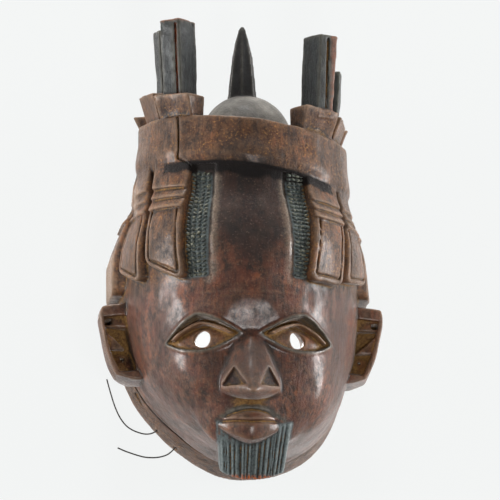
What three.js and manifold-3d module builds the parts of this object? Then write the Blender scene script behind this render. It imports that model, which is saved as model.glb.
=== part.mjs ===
// A carved wooden helmet mask, lying on its rim with its face up, in millimetres.
// +Z is up, +Y runs to the crown, and +X is to the right for someone who looks down on the face.
import * as THREE from 'three';
import * as BufferGeometryUtils from 'three/addons/utils/BufferGeometryUtils.js';
import { ConvexGeometry } from 'three/addons/geometries/ConvexGeometry.js';
import Module from 'manifold-3d';

const wasm = await Module();
wasm.setup();

// Overall reach of the carving
const CROWN_TIP_Y = 200.5;
const BEARD_TIP_Y = -200.5;
const EAR_REACH = 121;
const NOSE_TIP_Z = 212;

// Head: an egg over a rim that lies flat at z = 0
const HEAD_MIDDLE_Y = -40;
const HEAD_HALF_WIDTH = 101;
const HEAD_TO_NAPE = 112;
const HEAD_TO_CHIN = 132;
const WALL_TOP_Z = 60;
const BROW_Z = 188;
const CHEEK_Z = 177;
const JAW_SKEW = 7;
const WALL_THICKNESS = 13;
const RIM_FLARE = 2;
const GROOVE_DEPTH = 6;

// Crown: round about an axis that runs along Y
const AXIS_Z = 95;
const CROWN_RADIUS = 85;
const CROWN_FLOOR_Y = 100;
const CROWN_HOLLOW_RADIUS = 71;
const BAND_RADIUS = 91;
const BAND_LOW_Y = 63;
const BAND_HIGH_Y = 104;
const BAND_SLOPE = -0.11;
const DOME_RADIUS = 39;
const DOME_MIDDLE = new THREE.Vector3(3, 101, AXIS_Z);
const SPIKE_BASE_RADIUS = 13.5;
const SPIKE_BASE_Y = 132;
const SPIKE_FLUTES = 7;

// Forehead, hair strips and sheaths, placed by their angle round the crown axis, in degrees
const HAIR_LEFT = { turn: -30.5, foot: 12.5, head: 13.5 };
const HAIR_RIGHT = { turn: 28, foot: 8.5, head: 12.5 };
const HAIR_HEIGHT = 2.2;
const HAIR_FOOT_Y = -34;
const HAIR_ROWS = 9;
const SHEATH_HALF_WIDTH = 25.5;
const STRAP_HEIGHT = 1.8;
const STRAP_LINES = [23, 31.5, 40];

// Beard
const BEARD_RIDGES = 13;
const BEARD_HALF_WIDTH = 27;
const BEARD_THICKNESS = 20;
const BEARD_ROOT_Y = -158;
const BEARD_BOW = 6;

// Tie cords
const CORD_RADIUS = 0.6;
const CORD_HOLE_RADIUS = 1.6;
const CORD_SIDES = 8;

const DEGREE = Math.PI / 180;

// Solids: a closed geometry becomes a manifold, and back
function solid(geometry) {
  let bare = geometry.index ? geometry.toNonIndexed() : geometry.clone();
  bare.deleteAttribute('normal');
  bare.deleteAttribute('uv');
  bare = BufferGeometryUtils.mergeVertices(bare, 1e-4);
  const mesh = new wasm.Mesh({
    numProp: 3,
    vertProperties: new Float32Array(bare.attributes.position.array),
    triVerts: new Uint32Array(bare.index.array),
  });
  mesh.merge();
  return new wasm.Manifold(mesh);
}

function geometryOf(manifold) {
  const mesh = manifold.getMesh();
  const geometry = new THREE.BufferGeometry();
  geometry.setAttribute('position', new THREE.BufferAttribute(mesh.vertProperties.slice(), 3));
  geometry.setIndex(new THREE.BufferAttribute(mesh.triVerts.slice(), 1));
  return geometry;
}

// A closed geometry from points and triangles
function closedGeometry(points, triangles) {
  const geometry = new THREE.BufferGeometry();
  geometry.setAttribute('position', new THREE.Float32BufferAttribute(points.flat(), 3));
  geometry.setIndex(triangles.flat());
  return geometry;
}

// A stack of closed rings, each a list of points, with a flat fan at both ends
function stackOfRings(rings) {
  const points = rings.flat();
  const count = rings[0].length;
  const triangles = [];
  for (let row = 0; row + 1 < rings.length; row++) {
    for (let i = 0; i < count; i++) {
      const a = row * count + i;
      const b = row * count + ((i + 1) % count);
      triangles.push([a, b, b + count], [a, b + count, a + count]);
    }
  }
  const middle = (ring) => [0, 1, 2].map((k) => ring.reduce((sum, p) => sum + p[k], 0) / count);
  const low = points.length;
  points.push(middle(rings[0]), middle(rings.at(-1)));
  const last = (rings.length - 1) * count;
  for (let i = 0; i < count; i++) {
    const next = (i + 1) % count;
    triangles.push([next, i, low], [last + i, last + next, low + 1]);
  }
  return closedGeometry(points, triangles);
}

// A relief slab: top(i, j) gives its upper surface, and foot(i, j) the edge of its hidden underside
function reliefSlab(columns, rows, top, foot) {
  const points = [];
  const triangles = [];
  const at = (i, j) => j * columns + i;
  for (let j = 0; j < rows; j++) {
    for (let i = 0; i < columns; i++) {
      points.push(top(i, j));
    }
  }
  for (let j = 0; j + 1 < rows; j++) {
    for (let i = 0; i + 1 < columns; i++) {
      triangles.push([at(i, j), at(i + 1, j), at(i + 1, j + 1)], [at(i, j), at(i + 1, j + 1), at(i, j + 1)]);
    }
  }
  const edge = [];
  for (let i = 0; i < columns - 1; i++) edge.push([i, 0]);
  for (let j = 0; j < rows - 1; j++) edge.push([columns - 1, j]);
  for (let i = columns - 1; i > 0; i--) edge.push([i, rows - 1]);
  for (let j = rows - 1; j > 0; j--) edge.push([0, j]);
  const first = points.length;
  edge.forEach(([i, j]) => points.push(foot(i, j)));
  const centre = points.length;
  points.push([0, 1, 2].map((k) => edge.reduce((sum, e) => sum + foot(...e)[k], 0) / edge.length));
  edge.forEach(([i, j], n) => {
    const next = (n + 1) % edge.length;
    const a = at(i, j);
    const b = at(...edge[next]);
    triangles.push([b, a, first + n], [b, first + n, first + next], [first + next, first + n, centre]);
  });
  return closedGeometry(points, triangles);
}

// A point at an angle round the crown axis, at a distance from it
function round(angle, distance, y) {
  return [distance * Math.sin(angle), y, AXIS_Z + distance * Math.cos(angle)];
}

const smooth = (low, high, value) => {
  const t = Math.min(1, Math.max(0, (value - low) / (high - low)));
  return t * t * (3 - 2 * t);
};

const shear = (x) => BAND_SLOPE * x;

// The head's outline seen from above: how far it reaches from its middle at an angle
function outline(angle) {
  const right = Math.cos(angle) > 0;
  const down = Math.sin(angle) < 0;
  const power = down ? (right ? 2.2 : 1.85) : 2.3;
  const across = Math.abs(Math.cos(angle)) / HEAD_HALF_WIDTH;
  const along = Math.abs(Math.sin(angle)) / (down ? HEAD_TO_CHIN : HEAD_TO_NAPE);
  return (across ** power + along ** power) ** (-1 / power);
}

// The jaw is fuller on the right, as the carver left it
const skew = (y) => JAW_SKEW * smooth(-100, -165, y);

// How high the face stands: the brow is proud of the cheeks
const faceHeight = (y) => CHEEK_Z + (BROW_Z - CHEEK_Z) * smooth(-100, -48, y);

const jawWeight = (angle) => smooth(0.12, -0.12, Math.sin(angle));
const jawEdgeZ = (angle) => 40 + 26 * Math.abs(Math.cos(angle)) ** 1.5;

function headPoint(angle, reach, z, inset) {
  const distance = (outline(angle) - inset) * reach;
  const y = HEAD_MIDDLE_Y + distance * Math.sin(angle);
  return [distance * Math.cos(angle) + skew(y), y, z];
}

// How the egg rounds over at an angle of its outline: rounder at the sides, fuller at the chin and crown
function roundness(angle) {
  const down = Math.max(0, -Math.sin(angle));
  const up = Math.max(0, Math.sin(angle));
  return 2 + 1.2 * down ** 2 + 2.4 * down ** 4 + 2 * up ** 2;
}

function insideEgg(x, y, z) {
  const across = x - skew(y);
  const angle = Math.atan2(y - HEAD_MIDDLE_Y, across);
  const climb = Math.max(0, z - WALL_TOP_Z) / (faceHeight(y) - WALL_TOP_Z);
  if (climb >= 1) return false;
  const power = roundness(angle);
  return Math.hypot(across, y - HEAD_MIDDLE_Y) < outline(angle) * (1 - climb ** power) ** (1 / power);
}

// The egg: rings from the rim up to the brow, kept inside by an inset for the hollow
function head(inset, around, floor, rise) {
  const rings = [];
  const ring = (make) => {
    rings.push(Array.from({ length: around }, (_, i) => make((i / around) * 2 * Math.PI)));
  };
  if (inset === 0) {
    const edge = (share, offset) => (a) => headPoint(a, 1, jawEdgeZ(a) * share, -offset * jawWeight(a));
    ring((a) => headPoint(a, 1, 0, -RIM_FLARE * jawWeight(a)));
    ring(edge(0.4, -1));
    ring(edge(0.78, -GROOVE_DEPTH * 0.8));
    ring(edge(0.9, -GROOVE_DEPTH));
    ring(edge(1, 0));
    ring(edge(1.12, 1));
  } else {
    ring((a) => headPoint(a, 1, floor, inset));
  }
  for (let k = 1; k <= rise; k++) {
    const lift = (k / (rise + 0.5)) * 90 * DEGREE;
    ring((a) => {
      const power = roundness(a);
      const reach = Math.cos(lift) ** (2 / power);
      const climb = Math.sin(lift) ** (2 / power);
      const point = headPoint(a, reach, 0, inset);
      const low = inset === 0 ? Math.max(WALL_TOP_Z, jawEdgeZ(a) * 1.12) : WALL_TOP_Z;
      const top = faceHeight(point[1]) - inset;
      return [point[0], point[1], low + climb * (top - low)];
    });
  }
  return solid(stackOfRings(rings));
}

// A lathe about the crown axis, from a profile of [radius, y]
function crownLathe(profile, segments) {
  const points = profile.map(([radius, y]) => new THREE.Vector2(radius, y));
  const geometry = new THREE.LatheGeometry(points, segments);
  geometry.translate(0, 0, AXIS_Z);
  return geometry;
}

function sheared(geometry) {
  const position = geometry.attributes.position;
  for (let i = 0; i < position.count; i++) {
    position.setY(i, position.getY(i) + shear(position.getX(i)));
  }
  return geometry;
}

function crown() {
  return solid(crownLathe([
    [0, -40], [50, -36], [72, -12], [CROWN_RADIUS - 4, 16], [CROWN_RADIUS - 1, 50],
    [CROWN_RADIUS, CROWN_FLOOR_Y - 6], [CROWN_RADIUS - 6, CROWN_FLOOR_Y], [0, CROWN_FLOOR_Y + 3],
  ], 26));
}

// The band sags at the sides of the head, and its lower edge sags more than its upper one
function sagged(geometry) {
  const position = geometry.attributes.position;
  for (let i = 0; i < position.count; i++) {
    const aside = (position.getX(i) / BAND_RADIUS) ** 2;
    const low = (BAND_HIGH_Y - position.getY(i)) / (BAND_HIGH_Y - BAND_LOW_Y);
    position.setY(i, position.getY(i) - aside * (3.5 + 5 * low));
  }
  return geometry;
}

function band() {
  const inner = CROWN_RADIUS - 9;
  return solid(sheared(sagged(crownLathe([
    [inner, BAND_LOW_Y + 3], [BAND_RADIUS - 4, BAND_LOW_Y], [BAND_RADIUS, BAND_LOW_Y + 5],
    [BAND_RADIUS - 1.5, BAND_HIGH_Y - 3], [BAND_RADIUS - 5, BAND_HIGH_Y], [inner, BAND_HIGH_Y - 3],
    [inner, BAND_LOW_Y + 3],
  ], 36))));
}

function dome() {
  const profile = [[0, -20], [DOME_RADIUS, -20]];
  for (let k = 0; k <= 5; k++) {
    const lift = k * 18 * DEGREE;
    profile.push([k === 5 ? 0 : DOME_RADIUS * Math.cos(lift), DOME_RADIUS * Math.sin(lift)]);
  }
  const geometry = new THREE.LatheGeometry(profile.map(([r, y]) => new THREE.Vector2(r, y)), 20);
  geometry.translate(DOME_MIDDLE.x, DOME_MIDDLE.y, DOME_MIDDLE.z);
  return solid(geometry);
}

// The spike: a tapering horn with upright flutes
function spike() {
  const rows = [[0, 1], [0.3, 0.9], [0.62, 0.68], [0.85, 0.42], [0.95, 0.26], [1, 0.1]];
  const around = SPIKE_FLUTES * 2;
  const rings = rows.map(([rise, width]) => Array.from({ length: around }, (_, i) => {
    const angle = (-i / around) * 2 * Math.PI;
    const radius = SPIKE_BASE_RADIUS * width * (i % 2 ? 0.86 : 1);
    const y = SPIKE_BASE_Y + (CROWN_TIP_Y - SPIKE_BASE_Y) * rise;
    return [radius * Math.cos(angle), y, AXIS_Z + radius * Math.sin(angle)];
  }));
  return solid(stackOfRings(rings));
}

// How far the head's surface is from the crown axis, where the sheaths and hair lie on it
function surfaceAt(angle, y) {
  let near = CROWN_RADIUS - 1;
  let far = 130;
  const inside = (distance) => insideEgg(...round(angle, distance, y));
  if (!inside(near)) return near;
  for (let step = 0; step < 20; step++) {
    const middle = (near + far) / 2;
    if (inside(middle)) near = middle;
    else far = middle;
  }
  return near;
}

// A knife's sheath below the band: straps across its head, a panel with a sunk line, and a blunt foot. The
// foot lies aside by drift, and rises by slant to the left, or to the right where slant is under zero
function sheath({ turn, foot, slant = 0, drift = 0, plain = false, half = SHEATH_HALF_WIDTH,
  thickness = 9 }) {
  const high = BAND_LOW_Y + 10;
  const across = plain ? [-1, -0.5, 0, 0.5, 1] : [-1, -0.82, -0.75, -0.68, 0, 0.68, 0.75, 0.82, 1];
  const levels = plain ? [foot, foot + 5, foot + 16, high]
    : [foot, foot + 2.5, foot + 5, foot + 6.5, foot + 8, 0];
  if (!plain) STRAP_LINES.forEach((y) => levels.push(y - 0.5, y + 0.5));
  if (!plain) levels.push(high);
  const middle = turn * DEGREE;
  const surface = plain ? () => CROWN_RADIUS - 1 : surfaceAt;
  const halfWidth = (y) => {
    const spread = 1 - 0.1 * smooth(0, 70, y);
    const round = Math.min(1, 0.6 + 0.4 * Math.sqrt(Math.min(1, (y - foot) / 14)));
    return half * spread * round;
  };
  // Each strap stands up from its lower line and slopes back to the next one
  const lift = (i, j) => {
    const y = levels[j];
    if (plain) return 0;
    const line = STRAP_LINES.find((at) => Math.abs(at - y) < 0.6);
    if (line) return y > line ? STRAP_HEIGHT : 0;
    const s = Math.abs(across[i]);
    const sunkAcross = Math.abs(s - 0.75) < 0.01 && j >= 3 && y < STRAP_LINES[0];
    const sunkAlong = j === 3 && s < 0.76;
    return sunkAcross || sunkAlong ? -1.6 : 0;
  };
  const place = (i, j, distance) => {
    const y = levels[j];
    const aside = across[i] * halfWidth(y) + drift * smooth(60, -30, y);
    const angle = middle + aside / (surface(middle, y) + thickness);
    const slope = smooth(-30, 60, y) * shear(75 * Math.sin(angle));
    const uneven = ((Math.abs(slant) - slant * across[i]) / 2) * smooth(20, -20, y);
    return round(angle, distance(angle, y), y + slope + uneven);
  };
  const top = (i, j) => place(i, j, (angle, y) => {
    const rounding = Math.abs(across[i]) > 0.99 ? -1.2 : 0;
    const toe = 2 * smooth(foot, foot + 5, y) - 2;
    const thin = (thickness - 3.5) * smooth(20, 75, y);
    return surface(angle, y) + thickness - thin + lift(i, j) + rounding + toe;
  });
  const under = (i, j) => place(i, j, () => CROWN_RADIUS - 12);
  return solid(reliefSlab(across.length, levels.length, top, under));
}

// A strip of plaited hair: rows of nubs on a raised strip, half as wide as foot and head say at its ends
function hairStrip({ turn, foot, head: wide }) {
  const columns = 7;
  const rows = HAIR_ROWS * 2 + 1;
  const place = (i, j, distance) => {
    const y = HAIR_FOOT_Y + (j / (rows - 1)) * (BAND_LOW_Y + 6 - HAIR_FOOT_Y);
    const width = foot + (wide - foot) * smooth(HAIR_FOOT_Y, 60, y);
    const angle = turn * DEGREE + ((i / (columns - 1)) * 2 - 1) * (width / 90);
    return round(angle, distance(y, i, j), y);
  };
  const top = (i, j) => place(i, j, (y) => {
    const nub = i % 2 && j % 2 ? 1.6 : 0;
    const edge = i === 0 || i === columns - 1 ? -0.8 : 0;
    return surfaceAt(turn * DEGREE, y) + HAIR_HEIGHT + nub + edge;
  });
  return solid(reliefSlab(columns, rows, top, (i, j) => place(i, j, () => CROWN_RADIUS - 12)));
}

// A prism with straight sides between two rectangles, each turned about the Y axis
function prism(low, high) {
  const corners = ({ at, width, depth, turn, slope = 0 }) => {
    const c = Math.cos(turn * DEGREE);
    const s = Math.sin(turn * DEGREE);
    return [[-1, -1], [1, -1], [1, 1], [-1, 1]].map(([a, b]) => {
      const u = (a * width) / 2;
      const v = (b * depth) / 2;
      return [at[0] + u * c + v * s, at[1] + slope * u, at[2] - u * s + v * c];
    });
  };
  const points = [...corners(low), ...corners(high)].map((p) => new THREE.Vector3(...p));
  return solid(new ConvexGeometry(points));
}

// A knife above the band: the sheath's mouth, and the handle that stands in it
function knife({ turn, at: over = turn, out = 80, mouthTop, handleTop, facing, width, depth, aside = 0,
  lean = 0 }) {
  const foot = BAND_HIGH_Y - 12;
  const at = (distance, y) => round(over * DEGREE, distance, y);
  const mouth = prism(
    { at: at(out, foot + shear(at(out, 0)[0])), width: 33, depth: 12, turn: facing },
    { at: at(out + 2, mouthTop), width: 37, depth: 24, turn: facing, slope: -0.06 },
  );
  if (!handleTop) return [mouth];
  const base = at(out - 2, mouthTop - 8);
  base[0] += aside;
  const tip = [base[0] + lean, handleTop, base[2]];
  const shoulder = [tip[0], handleTop - 3, tip[2]];
  const body = prism(
    { at: base, width, depth, turn: facing },
    { at: shoulder, width: width * 1.1, depth: depth * 1.08, turn: facing },
  );
  const cap = prism(
    { at: shoulder, width: width * 1.1, depth: depth * 1.08, turn: facing },
    { at: tip, width: width * 0.94, depth: depth * 0.92, turn: facing },
  );
  return [mouth, body, cap];
}

// An ear: a block with a bevelled top, hollowed from the front in two pockets with a fold between
function ear(side) {
  const corner = ([x, y, z]) => new THREE.Vector3(side * x, y, z);
  const hull = (points) => solid(new ConvexGeometry(points.map(corner)));
  const slice = (profile, z) => profile.map(([x, y]) => [x, y, z]);
  const rear = [[84, -104], [96, -104], [107, -92], [111, -70], [113, -52], [108, -40], [84, -34]];
  const front = [[84, -106], [93, -106], [107, -102], [113.5, -88], [118, -70], [EAR_REACH, -50], [119, -42],
    [86, -38]];
  const block = hull([...slice(rear, 46), ...slice(front, 62), ...slice(front, 90)]);
  const bevel = hull([[80, -30, 80], [80, -48, 100], [125, -30, 76], [125, -54, 102], [125, -30, 102],
    [80, -30, 100]]);
  const upper = hull([...slice([[108, -64], [115.5, -62], [118, -54], [108, -53]], 74),
    ...slice([[107, -65], [116.5, -63], [119, -53], [107, -52]], 95)]);
  const lower = hull([...slice([[97, -97], [105, -97], [112, -76], [111, -72], [97, -72]], 76),
    ...slice([[96, -99], [106.5, -99], [114.5, -76], [113, -70], [96, -70]], 95)]);
  const pin = (x, y) => hull([...slice([[x - 2, y - 2], [x + 2, y - 2], [x + 2, y + 2], [x - 2, y + 2]], 66),
    ...slice([[x - 2, y - 2], [x + 2, y - 2], [x + 2, y + 2], [x - 2, y + 2]], 80)]);
  return [bevel, upper, lower, pin(112, -57), pin(100, -88)].reduce((made, cut) => made.subtract(cut), block);
}

// An eye: an almond cut into the face, a lens in it, a lid ledge over it, and a pierced pupil
const EYE = { x: 41, y: -84, z: 168, halfLength: 33, rise: 15, fall: 12, droop: -4, turn: 27, tip: 6 };

function almond(grow, depth) {
  const shape = new THREE.Shape();
  const length = EYE.halfLength + grow;
  shape.moveTo(-length, 0);
  shape.quadraticCurveTo(0, -(EYE.fall + grow) * 2, length, 0);
  shape.quadraticCurveTo(0, (EYE.rise + grow) * 2, -length, 0);
  return new THREE.ExtrudeGeometry(shape, { depth, bevelEnabled: false, curveSegments: 6 });
}

function eyePlace(side) {
  const turn = new THREE.Euler(-EYE.tip * DEGREE, side * EYE.turn * DEGREE, side * EYE.droop * DEGREE, 'YXZ');
  return new THREE.Matrix4().makeRotationFromEuler(turn).setPosition(side * EYE.x, EYE.y, EYE.z);
}

function eye(side) {
  const place = eyePlace(side);
  const put = (geometry) => solid(geometry.applyMatrix4(place));
  const socket = put(almond(0, 40).translate(0, 0, -5));
  const lens = put(new THREE.SphereGeometry(1, 14, 8).scale(EYE.halfLength, 13, 9).translate(0, 0, -9));
  const lid = put(almond(1.5, 10).translate(0, 0, -9));
  const opening = put(almond(-2, 50).translate(0, -3.6, -14));
  const bore = new THREE.CylinderGeometry(7.2, 7.2, 80, 10).rotateX(Math.PI / 2);
  const pupil = put(bore.translate(0, -1.5, -20));
  return { socket, lens, lid: lid.subtract(opening), pupil };
}

// The nose: a wedge with a ridge, and triangular hollows cut over its wings
function nose() {
  const hull = (points) => solid(new ConvexGeometry(points.map((p) => new THREE.Vector3(...p))));
  const ridge = NOSE_TIP_Z - 2.5;
  const wedge = hull([
    [-3, -74, 176], [3, -74, 176], [-10, -84, 172], [10, -84, 172], [-2.5, -136, ridge], [2.5, -136, ridge],
    [-2, -139, NOSE_TIP_Z], [2, -139, NOSE_TIP_Z], [-27, -127, 178], [27, -127, 178], [-26, -134, 174],
    [26, -134, 174], [-5, -146, 188], [5, -146, 188], [-20, -100, 155], [20, -100, 155], [-20, -136, 155],
    [20, -136, 155],
  ]);
  const hollow = (side) => hull([
    [side * 23.5, -129, 177], [side * 24, -129, 196], [side * 5, -135, 216], [side * 6, -134, 188],
    [side * 17, -113, 210], [side * 15, -120, 184],
  ]);
  return wedge.subtract(hollow(-1)).subtract(hollow(1));
}

function ball(x, y, z, a, b, c) {
  return solid(new THREE.SphereGeometry(1, 18, 8).scale(a, b, c).translate(x, y, z));
}

// A lip: a slab with pointed corners that bows out in the middle
function lip(top, foot, bow, z) {
  const columns = 9;
  const corner = -155;
  const rows = [0, 0.25, 0.6, 1];
  const place = (i, j, lift) => {
    const across = 1 - (i / (columns - 1)) * 2;
    const width = 31;
    const swell = 1 - Math.abs(across) ** 2.2;
    const y = corner + (top + (foot - top) * rows[j]) * (0.12 + 0.88 * swell);
    return [1 + across * width, y, z - 15 * across * across + lift(rows[j], swell)];
  };
  const over = (i, j) => place(i, j, (s, swell) => bow * swell * Math.sin(Math.PI * (0.18 + 0.64 * s)));
  const under = (i, j) => place(i, j, () => -16);
  return solid(reliefSlab(columns, rows.length, over, under));
}

// The mouth: a low muzzle, an upper lip with a ledge, a parting, and a fuller lower lip
function mouth() {
  const muzzle = ball(1, -148, 144, 42, 30, 24);
  return muzzle.add(lip(11, 0.8, 6, 172)).add(lip(-1.6, -18, 8, 168));
}

// The beard: a ribbed spade that juts from the chin
function beard() {
  const columns = BEARD_RIDGES * 2 + 1;
  const rows = 2;
  const place = (i, j, depth) => {
    const across = 1 - (i / (columns - 1)) * 2;
    const fall = j / (rows - 1);
    const width = BEARD_HALF_WIDTH + 5 * (1 - fall);
    const reach = BEARD_TIP_Y + BEARD_BOW * across * across;
    const y = BEARD_ROOT_Y + (reach - BEARD_ROOT_Y) * fall;
    return [5 + across * width, y, 165 - 32 * fall - 8 * across * across - depth];
  };
  const top = (i, j) => place(i, j, i % 2 ? 0 : 1.8);
  const under = (i, j) => place(i, j, BEARD_THICKNESS);
  return solid(reliefSlab(columns, rows, top, under));
}

// A cord's route: through its hole, down to the ground and along it
const CORD_UPPER = [
  [-50.5, -121.5, 7.5], [-56, -126, 7.5], [-61.5, -130.5, 7.5], [-65.5, -133.6, 7.2], [-68.5, -134.9, 5],
  [-71.5, -135.2, 2.4], [-75, -134.9, 0.9], [-80, -133.7, 0.65], [-85, -131.7, 0.65], [-89.5, -128.8, 0.65],
  [-93.2, -124.8, 0.65], [-96.2, -120.2, 0.65], [-98.8, -114.8, 0.65], [-101, -109, 0.65],
  [-103, -102.5, 0.65], [-105, -95.5, 0.65], [-107, -88, 0.65],
];
const CORD_LOWER = [
  [-37.5, -134.5, 7.5], [-42, -139.5, 7.5], [-46.6, -144.6, 7.5], [-50.2, -148.7, 7.2], [-52.9, -151.2, 4.9],
  [-55.8, -152.9, 2.3], [-59.2, -154, 0.9], [-64, -155, 0.65], [-69.5, -155.3, 0.65], [-75, -154.9, 0.65],
  [-80.5, -153.6, 0.65], [-86, -151.9, 0.65], [-91.5, -150, 0.65], [-97.8, -147.3, 0.65],
];

function cord(route) {
  const path = new THREE.CatmullRomCurve3(route.map((p) => new THREE.Vector3(...p)), false, 'centripetal');
  const shape = new THREE.Shape();
  for (let i = 0; i < CORD_SIDES; i++) {
    const angle = ((i + 0.5) / CORD_SIDES) * 2 * Math.PI;
    const x = CORD_RADIUS * Math.cos(angle);
    const y = CORD_RADIUS * Math.sin(angle);
    if (i === 0) shape.moveTo(x, y);
    else shape.lineTo(x, y);
  }
  const steps = 16;
  const geometry = new THREE.ExtrudeGeometry(shape, { steps, bevelEnabled: false, extrudePath: path });
  return geometryOf(solid(geometry));
}

function cordHole([start, , end]) {
  const from = new THREE.Vector3(...start);
  const to = new THREE.Vector3(...end);
  const along = to.clone().sub(from).normalize();
  const middle = from.clone().addScaledVector(along, 12);
  const geometry = new THREE.CylinderGeometry(CORD_HOLE_RADIUS, CORD_HOLE_RADIUS, 44, 8);
  geometry.applyQuaternion(new THREE.Quaternion().setFromUnitVectors(new THREE.Vector3(0, 1, 0), along));
  geometry.translate(middle.x, middle.y, middle.z);
  return solid(geometry);
}

// The knives round the crown, from the front to the back: the last four show only their sheaths' mouths,
// and the two at the back are plain below the band as well
const KNIVES = [
  { turn: -48, at: -46, half: 22, foot: -36, slant: 14, mouthTop: 128, facing: -44, handleTop: 194,
    width: 17, depth: 21, lean: -3 },
  { turn: 46.5, at: 44, half: 21, drift: -4.5, foot: -35, mouthTop: 117, facing: 34, handleTop: 182,
    width: 17, depth: 23, aside: 6.5, lean: 3 },
  { turn: -77, foot: -30, slant: 10, out: 73, mouthTop: 136, facing: -78, handleTop: 189, width: 15,
    depth: 12, lean: -3 },
  { turn: 76, foot: -31, slant: -8, drift: -4, out: 74, mouthTop: 115, facing: 78, handleTop: 159, width: 14,
    depth: 12, aside: 4, lean: 3 },
  { turn: -108, foot: -32, out: 78, mouthTop: 124, facing: -108, thickness: 13 },
  { turn: 107, foot: -32, out: 76, mouthTop: 113, facing: 107, thickness: 10 },
  { turn: -138, foot: 10, mouthTop: 118, facing: -138, plain: true },
  { turn: 138, foot: 10, mouthTop: 125, facing: 138, plain: true },
];

function mask() {
  const eyes = [eye(-1), eye(1)];
  const strips = [hairStrip(HAIR_LEFT), hairStrip(HAIR_RIGHT)];
  const pieces = [crown(), band(), dome(), spike(), ear(-1), ear(1), ...strips];
  KNIVES.forEach((each) => {
    pieces.push(sheath(each), ...knife(each));
  });
  let body = head(0, 48, 0, 10);
  pieces.forEach((piece) => {
    body = body.add(piece);
  });
  eyes.forEach(({ socket, lens, lid }) => {
    body = body.subtract(socket).add(lens).add(lid);
  });
  body = body.add(nose()).add(mouth()).add(beard());
  const hollow = head(WALL_THICKNESS, 28, -5, 6).add(solid(crownLathe([
    [0, -40], [45, -34], [62, -10], [CROWN_HOLLOW_RADIUS, 20], [CROWN_HOLLOW_RADIUS, 50],
    [60, 72], [38, 83], [0, 86],
  ], 24)));
  body = body.subtract(hollow);
  eyes.forEach(({ pupil }) => {
    body = body.subtract(pupil);
  });
  [CORD_UPPER, CORD_LOWER].forEach((route) => {
    body = body.subtract(cordHole(route));
  });
  // Only the outer skin is kept, which fills the specks of air between pieces that cross
  return body.decompose().sort((a, b) => b.volume() - a.volume())[0];
}

function named(name, geometry, colour, roughness) {
  geometry.computeVertexNormals();
  const material = new THREE.MeshStandardMaterial({ color: colour, roughness, metalness: 0 });
  const mesh = new THREE.Mesh(geometry, material);
  mesh.name = name;
  return mesh;
}

const whole = new THREE.Group();
whole.add(named('mask', geometryOf(mask()), 0x4a2a20, 0.5));
whole.add(named('cord_upper', cord(CORD_UPPER), 0x1c1a19, 0.9));
whole.add(named('cord_lower', cord(CORD_LOWER), 0x1c1a19, 0.9));

export default whole;
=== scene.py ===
# %% [markdown]
# A carved wooden helmet mask. It lies on its rim with the face up, and two thin tie cords leave the rim.
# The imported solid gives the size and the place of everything. This lesson adds what a carver's tools, the
# paint and the years add: soft edges, cut lines, plaited hair, wear, cracks and dirt.

# %% Load the frame
import math
import bpy
import numpy as np
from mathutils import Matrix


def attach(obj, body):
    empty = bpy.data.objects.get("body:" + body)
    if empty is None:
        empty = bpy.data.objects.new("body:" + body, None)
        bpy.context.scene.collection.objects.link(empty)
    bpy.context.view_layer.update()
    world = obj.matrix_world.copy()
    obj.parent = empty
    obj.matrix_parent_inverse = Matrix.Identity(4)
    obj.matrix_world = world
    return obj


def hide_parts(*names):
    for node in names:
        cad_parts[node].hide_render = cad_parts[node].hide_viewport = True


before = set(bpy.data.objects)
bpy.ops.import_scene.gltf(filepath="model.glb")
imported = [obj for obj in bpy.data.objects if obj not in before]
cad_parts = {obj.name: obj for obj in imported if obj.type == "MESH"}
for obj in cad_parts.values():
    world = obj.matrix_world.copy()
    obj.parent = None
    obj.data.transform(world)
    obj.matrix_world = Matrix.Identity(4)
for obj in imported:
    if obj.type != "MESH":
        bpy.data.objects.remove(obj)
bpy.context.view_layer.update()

import openvdb
from mathutils import Matrix, Vector

MM = 0.001

# %% [markdown]
# The camera looks down on the lying mask, a little from the chin and from the left. A long lens flattens a
# picture, so an orthographic camera is used: its width in metres is all that has to be chosen.

# %% Camera
VIEW_BACK = Vector((-0.087, -0.2, 0.976)).normalized()
VIEW_RIGHT = Vector((0, 1, 0)).cross(VIEW_BACK).normalized()
VIEW_UP = VIEW_BACK.cross(VIEW_RIGHT)
VIEW_WIDTH = 0.425
VIEW_MIDDLE = (0.0152, 0.0257)
VIEW_DISTANCE = 2.5
camera_data = bpy.data.cameras.new("camera")
camera_data.type = "ORTHO"
camera_data.ortho_scale = VIEW_WIDTH
camera = bpy.data.objects.new("camera", camera_data)
bpy.context.scene.collection.objects.link(camera)
turned = Matrix((VIEW_RIGHT, VIEW_UP, VIEW_BACK)).transposed().to_4x4()
turned.translation = VIEW_RIGHT * VIEW_MIDDLE[0] + VIEW_UP * VIEW_MIDDLE[1] + VIEW_BACK * VIEW_DISTANCE
camera.matrix_world = turned
bpy.context.scene.camera = camera
print("camera at", tuple(round(v, 3) for v in camera.location))

# %% [markdown]
# Shader maths reads best as plain sums. This small class wraps a socket, and each operator adds the Math node
# that does it.

# %% Shader values
class Value:
    """A number that varies over a surface, and that plain arithmetic works on."""

    def __init__(self, paint, socket):
        self.paint = paint
        self.socket = socket

    def _maths(self, operation, first, second):
        return self.paint.node("ShaderNodeMath", {"operation": operation}, first, second)

    def __add__(self, other):
        return self._maths("ADD", self, other)

    def __sub__(self, other):
        return self._maths("SUBTRACT", self, other)

    def __rsub__(self, other):
        return self._maths("SUBTRACT", other, self)

    def __mul__(self, other):
        return self._maths("MULTIPLY", self, other)

    __radd__ = __add__
    __rmul__ = __mul__

    def clamp(self):
        return self.paint.node("ShaderNodeClamp", {}, self)

    def step(self, low, high):
        """0 below low, 1 above high, and a smooth rise between them."""
        settings = {"interpolation_type": "SMOOTHSTEP"}
        return self.paint.node("ShaderNodeMapRange", settings, self, low, high, 0.0, 1.0)


print("shader values add, subtract and multiply")

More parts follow.
